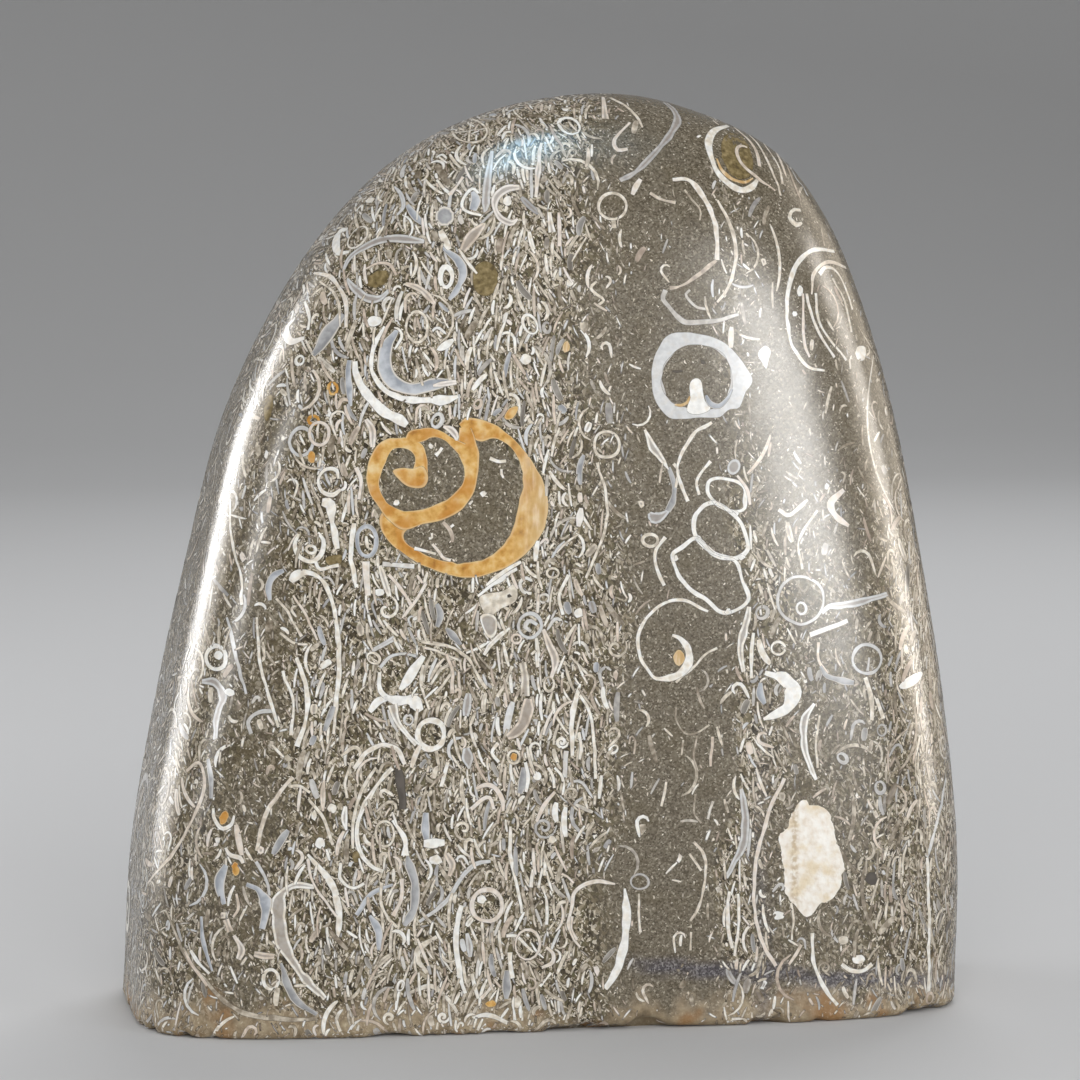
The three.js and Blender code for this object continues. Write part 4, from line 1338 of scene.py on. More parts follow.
def draw_lower_middle():
    """The ring, long arcs and blades low down, from the hash to the bare rock."""
    fill(shell, oval(-13.6, -41.6, 1, 0.65), PALE, 0.4, 0.08, PATCH)
    bands(shell, PALE, ANY,
          [(-6.4, -41.7, 0.35), (-8.4, -42.2, 0.5), (-9.9, -43.4, 0.5), (-11.1, -45.4, 0.5),
           (-12.7, -47.4, 0.45), (-15.6, -49.6, 0.3)],
          [(9.8, -44.8, 0.25), (8, -44.4, 0.4), (6, -44.8, 0.42), (4.6, -45.8, 0.42), (4, -48, 0.42),
           (3.7, -50, 0.4), (4.4, -51.8, 0.35), (5.2, -53, 0.2)],
          [(0.8, -52.9, 0.25), (1.7, -53.8, 0.38), (1.6, -55, 0.38), (0.3, -55.6, 0.25)],
          [(-8.3, -32.3, 0.3), (-7, -31.8, 0.55), (-5.8, -32.4, 0.55), (-5, -33.6, 0.5),
           (-4.7, -35.2, 0.3)],
          [(-3.8, -37.2, 0.3), (-3.9, -41, 0.42), (-3.1, -44.6, 0.42), (-2.3, -48.6, 0.3)],
          [(2, -32.8, 0.3), (0.4, -34.6, 0.55), (-0.5, -36.6, 0.4)],
          [(-8.8, -62.2, 0.3), (-6.6, -61.7, 0.55), (-4.2, -62.8, 0.4)])
    bands(shell, WHITE, SOLID,
          [(-10.2, -47.4, 0.4), (-10.8, -50, 0.65), (-10.9, -53, 0.7), (-10.5, -56, 0.7), (-9.7, -59, 0.5)],
          [(10.9, -45.3, 0.3), (11.3, -48, 0.85), (11.2, -51, 0.95), (10.6, -54, 0.95), (9.6, -56.6, 0.8),
           (8.5, -58.3, 0.6)],
          [(-15.2, -39.4, 0.7), (-13.9, -39.5, 1.1), (-12.4, -39.3, 0.7)])
    bands(shell, CREAM, ANY, [(-11.3, -45.8, 0.25), (-11.8, -48, 0.35), (-11.7, -50.6, 0.25)])
    bands(shell, PALE, COOL,
          [(-9.5, -51.2, 0.35), (-9.2, -52.8, 0.85), (-9.1, -54.2, 0.4)],
          [(-9.6, -27, 0.6), (-9.5, -28.4, 1.1), (-9.1, -29.8, 0.5)],
          [(-9.3, -20, 0.6), (-9.5, -21.4, 1.2), (-9.6, -22.8, 0.6)])
    bands(grey, GREY, ANY,
          [(-2.2, -29.6, 0.5), (-2.3, -31.4, 1.1), (-2.6, -33, 0.5)],
          [(-4.4, -56, 0.5), (-4.3, -58, 1), (-4.4, -59.6, 0.5)])
    bands(shell, WHITE, ANY, [(-1.9, -28.8, 0.4), (-1.6, -30.8, 0.45), (-1.8, -32.8, 0.3)])
    bands(grey, BLUE, ANY, [(-14.8, -35.4, 0.6), (-14.9, -37.2, 1.1), (-14.8, -38.8, 0.8)])
    bands(shell, CREAM, PINKISH, [(-12.2, -40.8, 0.5), (-11.5, -42.2, 0.9), (-11.8, -43.6, 0.5)])
    loops(shell, PALE, ANY, (-6.9, -47.5, 2, 2.1, 0.5))
    loops(shell, CREAM, ANY, (-3.4, -28.2, 0.8, 0.9, 0.3))
    dots(shell, WHITE, (-7.6, -46.7, 0.65, 0.6), (-0.4, -30.7, 0.6, 0.6))
    dots(amber, HONEY, (-3.4, -28.2, 0.5, 0.6), (-6.4, -60.3, 0.8, 0.45))
    dots(shell, CREAM, (-3, -60, 0.6, 0.9))
    thin(PALE,
         (0.28, (4.1, -49), (4.1, -50.6), (4.8, -52)),
         (0.24, (2.8, -43.4), (3.6, -43.8), (4.3, -44.6)),
         (0.36, (5.2, -20.2), (6.4, -22.2), (7, -26), (7.2, -31)),
         (0.36, (5.1, -25), (5.3, -27), (5.1, -28.6)),
         (0.5, (3.4, -27.4), (3.2, -30.8)),
         (0.34, (1, -29.6), (1.7, -30.8), (1.8, -32.2)),
         (0.32, (2, -29.6), (2.9, -31), (3, -33.2)),
         (0.36, (0.6, -41), (0.6, -43.6)),
         (0.4, (-0.9, -42.8), (-1.2, -45)),
         (0.36, (0.3, -42.8), (-0.2, -45.2)),
         (0.34, (0.2, -45), (0.9, -47), (0.9, -50)),
         (0.4, (-4.4, -51.4), (-3, -51.6), (-1, -53.6)),
         (0.5, (-4, -53.6), (-3.6, -57)),
         (0.45, (-7.6, -59.6), (-6, -57.8)),
         (0.4, (-8.9, -56.4), (-8, -59.6)),
         (0.34, (0, -58), (1.4, -56.2)),
         (0.45, (-12, -29), (-12.8, -32)),
         (0.36, (-9, -35), (-6.9, -33.4), (-6, -35)),
         (0.34, (-5.4, -26.4), (-6.2, -27.6), (-5.4, -28.9)))
    clear(oval(-6.9, -47.5, 1.5, 1.6))
    clear([(4.7, -51.5), (4.7, -47), (7, -45.4), (9.6, -46), (9.8, -51), (7.6, -55)])


def strew_fossils():
    """The hash: first the large shells all round, then smaller and smaller pieces between.

    Each line gives what the pieces are laid in, how many, their shape, its one or two sizes
    as (low, high, power), its corners, their widths, where they lie, how far they lean, how
    much of one may lie on others, their tones, and how broad their ends are.
    """
    strew(shell_hash, 40, bows, [(3, 8), (1.2, 2.6)], 18, (0.7, 1.7), behind, 0.6, 0.02, (0.5, 1))
    strew(grey_hash, 16, bows, [(3, 6), (1.0, 1.8)], 16, (1.0, 2.0), behind, 0.5, 0.02, (0.7, 1), 0.2)
    strew(shell_hash, 8, coils, [(2.4, 5.0), (1.1, 1.7)], 40, (0.5, 1.2), behind, 1.5, 0.02, (0.6, 1))
    strew(shell_hash, 10, rings, [(1.5, 4.2)], 24, (0.35, 0.9), behind, 0.6, 0.02, (0.5, 1))
    strew(shell_hash, 140, bows, [(4, 15, 1.6), (0.5, 1.9)], 15, (0.28, 0.55), margins, 0.3, 0.03, (0.3, 1))
    strew(shell_hash, 130, rings, [(0.6, 2.4, 2.6)], 14, (0.22, 0.4), everywhere, 0.6, 0.05, (0.4, 1))
    strew(shell_hash, 60, coils, [(0.8, 2.0, 1.8), (0.9, 1.7)], 16, (0.24, 0.42), everywhere, 1.5, 0.05,
          (0.4, 1))
    strew(grey_hash, 360, slivers, [(1.2, 4.0, 1.6), (0, 0.4)], 6, (0.45, 1.0, 1.6), everywhere, 0.4, 0.08,
          (0.1, 0.9), 0.5)
    strew(shell_hash, 1100, slivers, [(1.2, 4.2, 1.5), (0, 0.4)], 6, (0.42, 0.95, 1.8), hash_at, 0.35, 0.08,
          (0.1, 1), 0.6)
    strew(shell_hash, 1100, hooks, [(1.8, 5.5, 1.6)], 9, (0.24, 0.46), everywhere, 0.4, 0.08, (0.3, 1))
    strew(shell_hash, 3000, bows, [(0.6, 3.4, 1.6), (0.4, 2.6)], 7, (0.24, 0.46), everywhere, 0.5, 0.1,
          (0.3, 1))
    strew(fine_hash, 8000, slivers, [(1.5, 4.0, 1.4), (0, 0.3)], 4, (0.22, 0.4), combed, 0.2, 0.3,
          (0.3, 1), 0.6)
    strew(fine_hash, 4000, slivers, [(1.2, 3.0, 1.4), (0, 0.3)], 4, (0.2, 0.38), hash_at, 0.6, 0.12,
          (0.2, 1), 0.6)
    strew(splinter_hash, 13000, slivers, [(0.8, 2.0, 1.4), (0, 0.2)], 3, (0.17, 0.34), combed, 0.3, 0.25,
          (0.1, 1), 0.7)
    strew_crumbs(2600)
    strew(small_hash, 34000, slivers, [(0.4, 1.9, 1.6), (0, 0.25)], 3, (0.1, 0.24), thickly, 0.55, 0.34,
          (0.1, 1), 0.7)
    strew(small_hash, 900, slivers, [(0.3, 0.8, 1.3), (0, 0.3)], 3, (0.08, 0.15), bare, 0.9, 0.1,
          (0, 0.7), 0.6)


def strew(inlay, count, shape, sizes, steps, width, weight_at, lean, most, tone, ends=0.35):
    """Strews a count of alike pieces, given as strew_fossils() lists them."""
    shapes = shape(*(between(count, *size) for size in sizes), steps)
    closed = shape is rings
    broad = between(count, *width)
    widths = uneven(broad, steps) if closed else tapered(broad, steps, ends)
    lay(inlay, shapes, widths, closed, weight_at, lean, most, tone)


def strew_crumbs(count):
    """Small solid bits of shell, as uneven dots."""
    places, up, aside = strewn(count, everywhere)
    steps = 6
    turn = np.arange(steps) / steps * 2 * math.pi
    reach = between(count, 0.12, 0.55, 2.4)[:, None]
    reach = reach * np.clip(1 + 0.4 * rng.normal(size=(count, steps)), 0.4, 1.8)
    rims = places[:, None] + up[:, None] * (1.25 * reach * np.cos(turn))[..., None]
    rims = rims - aside[:, None] * (reach * np.sin(turn))[..., None]
    kept = room.fit(np.concatenate([rims, places[:, None]], 1), 0.2)
    crumbs.patches(rims[kept], rng.random(len(kept)), rng.random(len(kept)))


# ---------------------------------------------------------------- materials

# Colours are screen colours of 0 to 255.
RIM_SHADE_COLOUR = (72, 62, 47)  # painted shade: a dark rim along the edges of each piece of shell
STAIN, RUST = (92, 80, 52), (160, 118, 68)
OCHRE, RIDGE_BROWN = (222, 199, 152), (186, 160, 120)
COOL_WHITE, PINK, DULL_CORE = (196, 199, 205), (218, 194, 178), (150, 138, 127)
AMBER_DEEP, AMBER_DULL, AMBER_EDGE = (202, 134, 50), (184, 128, 58), (232, 206, 160)
FLOOR_GREY = (216, 217, 219)

SHELL_IOR = 1.55
STONE_IOR = 1.5
OYSTER_RIDGE = 28.5  # where along X a broken brown line runs up the oyster, in mm


def linear(red, green, blue):
    """A screen colour as linear light."""
    light = [((c / 255 + 0.055) / 1.055) ** 2.4 if c > 10 else c / 3294.6 for c in (red, green, blue)]
    return (*light, 1.0)


class Paint:
    """One Principled material, with short names for the nodes that its patterns need."""

    def __init__(self, name):
        self.material = bpy.data.materials.new(name)
        self.material.use_nodes = True
        self.tree = self.material.node_tree
        self.shader = self.tree.nodes["Principled BSDF"]
        place = self.node("ShaderNodeTexCoord").outputs["Object"]
        self.place = self.grown(place, 1 / MM)

    def node(self, kind, inputs=None, **settings):
        """A new node with its inputs, by number or name, and its settings."""
        made = self.tree.nodes.new(kind)
        for name, value in settings.items():
            setattr(made, name, value)
        for name, value in (inputs or {}).items():
            self.plug(made.inputs[name], value)
        return made

    def plug(self, socket, value):
        """Links another node's output to a socket, or sets a constant on it."""
        if isinstance(value, bpy.types.NodeSocket):
            self.tree.links.new(value, socket)
        else:
            socket.default_value = value

    def wear(self, **values):
        """Sets the shader's sockets, by names with _ for a space."""
        for name, value in values.items():
            self.plug(self.shader.inputs[name.replace("_", " ")], value)

    def math(self, operation, a, b=0.0):
        """A sum, comparison or the like of one value or two."""
        return self.node("ShaderNodeMath", {0: a, 1: b}, operation=operation).outputs[0]

    def times(self, a, b):
        return self.math("MULTIPLY", a, b)

    def plus(self, a, b):
        return self.math("ADD", a, b)

    def away(self, value, middle):
        """How far a value is from a middle, either way."""
        return self.math("ABSOLUTE", self.math("SUBTRACT", value, middle))

    def grown(self, vectors, scale):
        """Vectors made longer by a scale."""
        return self.node("ShaderNodeVectorMath", {0: vectors, "Scale": scale}, operation="SCALE").outputs[0]

    def step(self, value, low, high, to_low=0.0, to_high=1.0):
        """A smooth step as a value goes from low to high, which may also be the lower one."""
        inputs = {"Value": value, "From Min": low, "From Max": high, "To Min": to_low, "To Max": to_high}
        return self.node("ShaderNodeMapRange", inputs, interpolation_type="SMOOTHSTEP").outputs[0]

    def clouds(self, place, detail):
        """The outputs of a noise node at some places."""
        return self.node("ShaderNodeTexNoise", {"Vector": place, "Scale": 1.0, "Detail": detail}).outputs

    def noise(self, size, detail, stretch=(1, 1, 1)):
        """Smooth noise of 0 to 1, with lumps of about size mm."""
        scale = [1 / (size * s) for s in stretch]
        place = self.node("ShaderNodeVectorMath", {0: self.place, 1: scale}, operation="MULTIPLY").outputs[0]
        return self.clouds(place, detail)["Fac"]

    def bent(self, size, amount):
        """Places shifted by smooth noise, to bend a pattern."""
        drift = self.grown(self.clouds(self.grown(self.place, 1 / size), 1.0)["Color"], amount)
        return self.node("ShaderNodeVectorMath", {0: self.place, 1: drift}, operation="ADD").outputs[0]

    def along_x(self):
        """The place along X, in mm."""
        return self.node("ShaderNodeSeparateXYZ", {0: self.place}).outputs[0]

    def cycle(self, value, rounds):
        """Runs from 0 to 1 some rounds as a value goes from 0 to 1."""
        return self.math("FRACT", self.times(value, float(rounds)))

    def cells(self, size, stretch=1.0, turn=0.0, place=None):
        """Random cells of some size in mm: distances from their middles, and random colours."""
        scale = (size, size, size * stretch)
        inputs = {"Vector": place or self.place, "Scale": scale, "Rotation": (0, turn, 0)}
        place = self.node("ShaderNodeMapping", inputs, vector_type="TEXTURE").outputs[0]
        made = self.node("ShaderNodeTexVoronoi", {"Vector": place, "Scale": 1.0})
        return made.outputs["Distance"], made.outputs["Color"]

    def part(self, colour, axis=0):
        """One of the three numbers of a random colour."""
        return self.node("ShaderNodeSeparateColor", {"Color": colour}).outputs[axis]

    def field(self, name):
        """A number that the mesh carries at its corners."""
        return self.node("ShaderNodeAttribute", attribute_name=name).outputs["Fac"]

    def ramp(self, value, *stops):
        """Colours for a value, given as stops of (value, colour)."""
        made = self.node("ShaderNodeValToRGB", {"Fac": value})
        marks = made.color_ramp.elements
        while len(marks) < len(stops):
            marks.new(0.5)
        for mark, (position, colour) in zip(marks, stops):
            mark.position = position
            mark.color = linear(*colour)
        return made.outputs["Color"]

    def mix(self, share, a, b, blend="MIX"):
        """A share of colour b over colour a."""
        made = self.node("ShaderNodeMix", {0: share}, data_type="RGBA", blend_type=blend)
        for socket, value in ((made.inputs[6], a), (made.inputs[7], b)):
            self.plug(socket, linear(*value) if isinstance(value, tuple) else value)
        return made.outputs[2]

    def bump(self, height, strength, depth):
        """Normals bent as if a height of 0 to 1 stood for a depth in mm."""
        inputs = {"Height": height, "Strength": strength, "Distance": depth * MM}
        return self.node("ShaderNodeBump", inputs).outputs[0]


def depth_in(paint):
    """How far in from the edges of a piece, in widths of its rim of painted shade."""
    edge = paint.times(paint.away(paint.field("across"), 0.5), 2.0)
    return paint.math("DIVIDE", paint.math("SUBTRACT", 1.0, edge), paint.field("rind"))


def with_rim_shade(paint, colour):
    """A piece's colour with painted shade, a dark rim, along its edges."""
    return paint.mix(paint.step(depth_in(paint), 1.3, 0.4, 0, 0.8), colour, RIM_SHADE_COLOUR)


def stone_matrix(paint, grain, thick):
    """Sandy rock that turns to crumbled shell where the hash is thick, and the crumbs' places."""
    sand = paint.ramp(grain, (0.0, (78, 69, 54)), (0.3, (104, 95, 79)), (0.7, (122, 113, 97)),
                      (0.93, (142, 133, 116)), (1.0, (180, 171, 154)))
    mud = paint.ramp(grain, (0.0, (42, 35, 24)), (0.35, (74, 65, 48)), (0.7, (96, 86, 67)),
                     (1.0, (136, 125, 103)))
    bent = paint.bent(0.9, 0.7)
    for size, turn, most in ((0.36, 0.35, 1.0), (0.26, -0.7, 0.5)):
        random = paint.cells(size, 2.3, turn, bent)[1]
        crumbled = paint.ramp(paint.part(random, 2), (0.0, (36, 30, 20)), (0.3, (76, 66, 48)),
                              (0.5, (112, 100, 76)), (0.6, (96, 92, 64)), (0.78, (150, 136, 110)),
                              (0.9, (204, 192, 170)), (1.0, (238, 229, 212)))
        some = paint.times(paint.math("LESS_THAN", paint.part(random), most), 0.85)
        mud = paint.mix(some, mud, crumbled)
    colour = paint.mix(paint.step(thick, 0.04, 0.6), sand, mud)
    colour = paint.mix(paint.step(paint.noise(5, 3), 0.45, 0.75, 0, 0.35), colour, STAIN)
    return colour, bent


def with_fine_shell(paint, colour, thick, bent):
    """Adds splinters of shell that are too fine to inlay, in three directions."""
    for size, stretch, turn, share in ((0.24, 3.0, 0.1, 0.3), (0.22, 3.0, -0.9, 0.24), (0.2, 2.8, 0.9, 0.24)):
        distance, random = paint.cells(size, stretch, turn, bent)
        chosen = paint.math("LESS_THAN", paint.part(random), paint.times(thick, share))
        inside = paint.times(paint.step(distance, 0.42, 0.28), chosen)
        pale = paint.ramp(paint.part(random, 1), (0.0, (120, 111, 94)), (0.3, (190, 179, 160)),
                          (0.65, (226, 216, 198)), (1.0, (246, 239, 226)))
        colour = paint.mix(inside, colour, pale)
    return colour


def with_ground_and_seam(paint, colour, grain, ground, seam):
    """Adds the unpolished band at the base, rusty in places, and the lilac-grey seams."""
    dull = paint.ramp(paint.noise(1.2, 5), (0.25, (112, 94, 68)), (0.5, (164, 144, 114)),
                      (0.75, (196, 180, 150)))
    rusty = paint.mix(paint.step(paint.noise(6, 2), 0.52, 0.66), dull, RUST)
    colour = paint.mix(paint.times(ground, 0.75), colour, rusty)
    lilac = paint.ramp(grain, (0.0, (58, 54, 58)), (0.6, (90, 86, 91)), (1.0, (144, 140, 142)))
    return paint.mix(paint.times(seam, 0.92), colour, lilac)


def stone_paint():
    """Olive-grey sandy matrix, with hash too fine to inlay, a ground base and dark seams."""
    paint = Paint("polished_shelly_limestone")
    thick, ground, seam = (paint.field(name) for name in ("hash", "ground", "seam"))
    grain = paint.part(paint.cells(0.2)[1])
    colour, bent = stone_matrix(paint, grain, thick)
    colour = with_fine_shell(paint, colour, thick, bent)
    colour = with_ground_and_seam(paint, colour, grain, ground, seam)
    rough = paint.step(ground, 0, 1, 0.22, 0.62)
    rough = paint.plus(rough, paint.times(paint.part(paint.cells(0.5)[1]), 0.05))
    height = paint.plus(paint.times(ground, paint.noise(0.7, 4)), paint.times(grain, 0.03))
    height = paint.plus(height, paint.times(paint.noise(4.5, 2), 1.1))
    paint.wear(Base_Color=colour, Roughness=rough, Normal=paint.bump(height, 0.5, 0.12), IOR=STONE_IOR)
    return paint.material


def shell_paint():
    """Cream to white calcite shell, some of it with a dull core between bright walls."""
    paint = Paint("cream_shell")
    tone, tint = paint.field("tone"), paint.field("tint")
    tone = paint.plus(tone, paint.step(paint.noise(0.9, 3), 0.3, 0.7, -0.2, 0.2))
    colour = paint.ramp(tone, (0.0, (120, 108, 90)), (0.2, (159, 147, 129)), (0.4, (201, 190, 172)),
                        (0.6, (235, 225, 208)), (0.8, (251, 246, 236)), (1.0, (255, 254, 250)))
    cool = paint.mix(paint.step(tint, 0.25, 0.05, 0, 0.6), colour, COOL_WHITE)
    pink = paint.mix(paint.step(tint, 0.7, 1.0, 0, 0.4), cool, PINK)
    core = paint.mix(0.72, pink, DULL_CORE)
    some = paint.math("LESS_THAN", paint.cycle(tint, 7), 0.4)
    hollow = paint.times(paint.step(depth_in(paint), 4.5, 8.5), some)
    streak = paint.step(paint.noise(0.7, 4), 0.3, 0.7, 0.86, 1.04)
    shade = paint.node("ShaderNodeCombineColor", {0: streak, 1: streak, 2: streak}).outputs[0]
    colour = paint.mix(1.0, paint.mix(hollow, pink, core), shade, "MULTIPLY")
    # the colour gets a rim of painted shade along each piece's edges
    paint.wear(Base_Color=with_rim_shade(paint, colour), Roughness=paint.step(tint, 0, 1, 0.18, 0.28), IOR=SHELL_IOR)
    return paint.material


def nacre_paint():
    """Grey and bluish translucent shell, shaded across, with a pale rim."""
    paint = Paint("grey_shell")
    tone, across = paint.field("tone"), paint.field("across")
    edge = paint.away(across, 0.5)
    core = paint.ramp(tone, (0.0, (62, 55, 50)), (0.15, (112, 106, 97)), (0.4, (142, 137, 130)),
                      (0.7, (148, 148, 149)), (1.0, (160, 166, 176)))
    light = paint.ramp(tone, (0.0, (74, 66, 60)), (0.15, (140, 133, 124)), (0.4, (184, 179, 172)),
                       (0.7, (192, 192, 193)), (1.0, (210, 214, 220)))
    shaded = paint.plus(paint.times(across, 0.45), paint.noise(1.3, 3))
    body = paint.mix(paint.step(shaded, 0.5, 0.95), core, light)
    pale = paint.mix(paint.step(tone, 0.05, 0.2), core, (228, 222, 212))
    rim = paint.mix(paint.step(edge, 0.32, 0.44), body, pale)
    # the colour gets a rim of painted shade along each piece's edges
    paint.wear(Base_Color=with_rim_shade(paint, rim), Roughness=0.16, IOR=SHELL_IOR)
    return paint.material


def amber_paint():
    """Honey-coloured calcite: golden on the left, paler and streaked on the right."""
    paint = Paint("amber_calcite")
    tone, across = paint.field("tone"), paint.field("across")
    edge = paint.times(paint.away(across, 0.5), 2.0)
    golden = paint.ramp(paint.noise(1.3, 5), (0.25, (166, 110, 46)), (0.4, (208, 154, 74)),
                        (0.53, (228, 183, 108)), (0.7, (238, 212, 158)))
    golden = paint.mix(paint.step(paint.noise(3.2, 3), 0.47, 0.6, 0, 0.6), golden, AMBER_DEEP)
    faded = paint.ramp(paint.noise(1.2, 4, (0.5, 0.5, 2.6)), (0.3, (204, 164, 108)), (0.5, (216, 184, 134)),
                       (0.66, (238, 218, 186)))
    colour = paint.mix(paint.step(paint.along_x(), -9, -2), golden, faded)
    colour = paint.mix(paint.step(tone, 0.3, 0.0, 0, 0.6), colour, AMBER_DULL)
    colour = paint.mix(paint.step(edge, 0.72, 0.92, 0, 0.6), colour, AMBER_EDGE)
    olive = paint.ramp(paint.noise(0.6, 4), (0.3, (92, 78, 50)), (0.5, (130, 114, 76)),
                       (0.7, (164, 146, 106)))
    colour = paint.mix(paint.step(tone, 0.12, 0.04), colour, olive)
    # the colour gets a rim of painted shade along each piece's edges
    paint.wear(Base_Color=with_rim_shade(paint, colour), Roughness=0.16, IOR=SHELL_IOR)
    return paint.material


def chalk_paint():
    """The chalky, unpolished face of an oyster."""
    paint = Paint("chalky_shell")
    colour = paint.ramp(paint.noise(0.8, 5), (0.3, (230, 218, 200)), (0.45, (243, 235, 223)),
                        (0.65, (252, 248, 240)))
    stained = paint.step(paint.noise(2.6, 5), 0.47, 0.68, 0, 0.6)
    colour = paint.mix(stained, colour, OCHRE)
    off_ridge = paint.away(paint.along_x(), OYSTER_RIDGE)
    on_ridge = paint.step(off_ridge, 0.8, 0.1)
    broken = paint.times(on_ridge, paint.step(paint.noise(0.6, 4), 0.35, 0.6, 0, 0.75))
    colour = paint.mix(broken, colour, RIDGE_BROWN)
    paint.wear(Base_Color=colour, Roughness=0.45, Normal=paint.bump(paint.noise(0.5, 4), 0.6, 0.15))
    return paint.material


# ---------------------------------------------------------------- the pieces

GROUND_TOP, GROUND_RISE = 3.2, 1.3  # how high the unpolished band reaches, and more at the right


def ground_at(points):
    """How unpolished the stone is at points: a ragged band along the base."""
    top = GROUND_TOP + GROUND_RISE * rising(points[:, 0], 2, 20)
    top += 2.4 * noise_at(points * [1, 1, 0.3], 7, 5) + 1.6 * noise_at(points, 1.8, 6)
    return rising(top + 1.2, points[:, 2], 2.2)


def seam_at(points):
    """The dark seam low on the right of the front, and the one that stands beside the hash."""
    x, y, z = points[:, 0], points[:, 1], points[:, 2]
    wobble = noise_at(points * [1, 1, 0], 5, 7)
    level = np.exp(-(((z - 9.2 + 0.105 * x - 0.5 * wobble) / 0.95) ** 2)) * rising(x, 5, 6)
    upright = np.exp(-(((x - 24.2 - 0.5 * np.sin(z * 0.2)) / 0.9) ** 2)) * rising(z, 52, -30)
    return np.clip(1.3 * level + 0.6 * upright, 0, 1) * (y < 0)


def add_limestone():
    """The stone, which takes the place of the CAD solid."""
    points = surface.points
    mesh = bpy.data.meshes.new("stone")
    mesh.from_pydata(points * MM, [], surface.triangles)
    mesh.shade_smooth()
    fields = {"hash": hash_at(points), "ground": ground_at(points), "seam": seam_at(points)}
    for field, values in fields.items():
        mesh.attributes.new(field, "FLOAT", "POINT").data.foreach_set("value", values.astype(np.float32))
    mesh.materials.append(stone_paint())
    stone = add_piece("limestone", mesh)
    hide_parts("polished_stone")


def add_inlays():
    """All that is laid in the stone, gathered by material and size."""
    shell_material = shell_paint()
    shell.piece("shell_sections", shell_material)
    shell_hash.piece("shell_hash", shell_material)
    fine_hash.piece("fine_shell_hash", shell_material)
    splinter_hash.piece("shell_splinters", shell_material)
    small_hash.piece("small_shell_splinters", shell_material)
    crumbs.piece("shell_crumbs", shell_material)
    nacre_material = nacre_paint()
    grey.piece("grey_shell_sections", nacre_material)
    grey_hash.piece("grey_shell_hash", nacre_material)
    amber.piece("moon_snail_section", amber_paint())
    chalk.piece("oyster", chalk_paint())


# ---------------------------------------------------------------- camera, light and floor

WARM, CREAMY, SKY_BLUE = (1.0, 0.88, 0.72), (1.0, 0.94, 0.86), (0.4, 0.75, 1.0)
SIDE_LIGHT = 500  # how far the cards stand from the spots that mirror them, in mm
ROOM_LIGHT, ROOM_COLOUR = 0.38, (0.58, 0.57, 0.55, 1)


def look(thing, place, target):
    """Puts a camera or a light at a place in mm, turned to a target."""
    direction = Vector(target) - Vector(place)
    thing.location = Vector(place) * MM
    thing.rotation_mode = "QUATERNION"
    thing.rotation_quaternion = direction.to_track_quat("-Z", "Y")
    bpy.context.scene.collection.objects.link(thing)


def add_camera():
    """The camera, a little above the stone's middle and to the left of its front."""
    lens = bpy.data.cameras.new("camera")
    lens.sensor_width = SENSOR
    lens.lens = SENSOR * DISTANCE / VIEW_WIDTH
    camera = bpy.data.objects.new("camera", lens)
    look(camera, EYE, VIEW_MIDDLE)
    bpy.context.scene.camera = camera


def add_lamp(name, place, target, size, glow, colour=(1, 1, 1), lights=True, mirrored=True):
    """A softbox of a size in mm, with the brightness of its face. It may only light, or only be
    mirrored."""
    lamp = bpy.data.lights.new(name, "AREA")
    lamp.shape = "RECTANGLE"
    lamp.size, lamp.size_y = (side * MM for side in size)
    lamp.energy = glow * math.pi * lamp.size * lamp.size_y
    lamp.color = colour
    softbox = bpy.data.objects.new(name, lamp)
    softbox.visible_diffuse = lights
    softbox.visible_glossy = mirrored
    look(softbox, place, target)


def add_card(name, mark, size, glow, colour=(1, 1, 1), lights=False):
    """A bright card where the polished stone, at a mark in the view, mirrors it to the camera."""
    places, normals = surface.seen(np.array([mark], float))
    place, normal = places[0], normals[0]
    view = unit(EYE - place)
    mirrored = 2 * view.dot(normal) * normal - view
    add_lamp(name, place + mirrored * SIDE_LIGHT, place, size, glow, colour, lights)


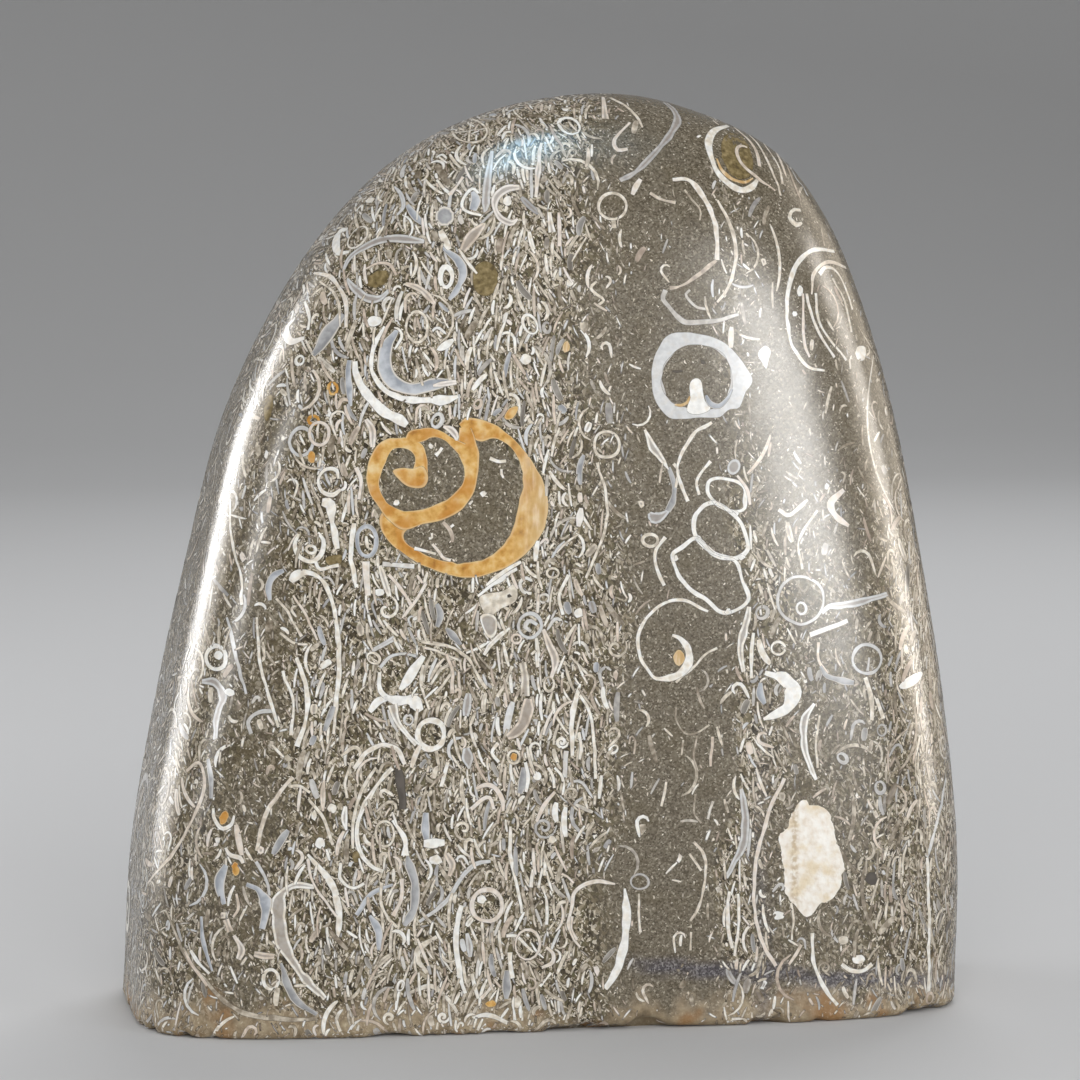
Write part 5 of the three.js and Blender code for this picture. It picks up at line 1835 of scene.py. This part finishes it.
def add_floor():
    """A pale sweep, in metres: a level floor that rises in a quarter round behind the stone."""
    half, front, back, bend, top, steps = 3.0, -2.0, 0.9, 0.8, 2.6, 12
    profile = [(front, 0.0)]
    for step in range(steps + 1):
        angle = step / steps * math.pi / 2
        profile.append((back + bend * math.sin(angle), bend * (1 - math.cos(angle))))
    profile.append((back + bend, top))
    corners = [(side, y, z) for y, z in profile for side in (-half, half)]
    faces = [(k, k + 1, k + 3, k + 2) for k in range(0, len(corners) - 2, 2)]
    mesh = bpy.data.meshes.new("floor")
    mesh.from_pydata(corners, [], faces)
    mesh.shade_smooth()
    paint = Paint("pale_floor")
    paint.wear(Base_Color=linear(*FLOOR_GREY), Roughness=0.9, Specular_IOR_Level=0.0)
    mesh.materials.append(paint.material)
    floor = bpy.data.objects.new("floor", mesh)
    bpy.context.scene.collection.objects.link(floor)


def add_room_light():
    """Dim light from all round."""
    world = bpy.data.worlds.new("studio")
    world.use_nodes = True
    background = world.node_tree.nodes["Background"]
    background.inputs["Color"].default_value = ROOM_COLOUR
    background.inputs["Strength"].default_value = ROOM_LIGHT
    bpy.context.scene.world = world
    bpy.context.scene.view_settings.view_transform = "Standard"


def add_lights():
    """Cards and softboxes that the polish mirrors as its streaks, and lamps that fill and rim."""
    add_card("left_card", (-38.2, 15), (170, 210), 9)
    add_card("left_low_card", (-45, -14), (290, 240), 4.2)
    add_card("left_thin_card", (-36, 4), (100, 250), 10)
    add_card("right_card", (31.8, 19), (160, 260), 16)
    add_card("right_thin_card", (43.2, 14), (140, 400), 11, CREAMY)
    add_card("window", (-2.6, 50.5), (120, 230), 11, SKY_BLUE)
    add_card("right_low_card", (49, -24), (170, 300), 4, WARM)
    add_card("left_softbox", (-40, 6), (340, 440), 2.0, lights=True)
    add_card("right_softbox", (33, 14), (280, 440), 1.6, lights=True)
    add_lamp("front_fill", (-150, -1300, 500), (0, 0, 55), (800, 800), 3.85, mirrored=False)
    add_lamp("left_rim", (-600, 220, 160), (0, 0, 50), (300, 700), 2.0, WARM, lights=False)
    add_lamp("right_rim", (600, 280, 160), (0, 0, 50), (300, 700), 2.0, WARM, lights=False)
    add_lamp("back_fill", (250, 560, 780), (0, 0, 30), (500, 500), 4.0, mirrored=False)
    add_lamp("overhead", (-100, -500, 900), (0, 0, 60), (500, 500), 1.2)


# ---------------------------------------------------------------- the scene

draw_fossils()
strew_fossils()
add_limestone()
add_inlays()
add_camera()
add_floor()
add_room_light()
add_lights()
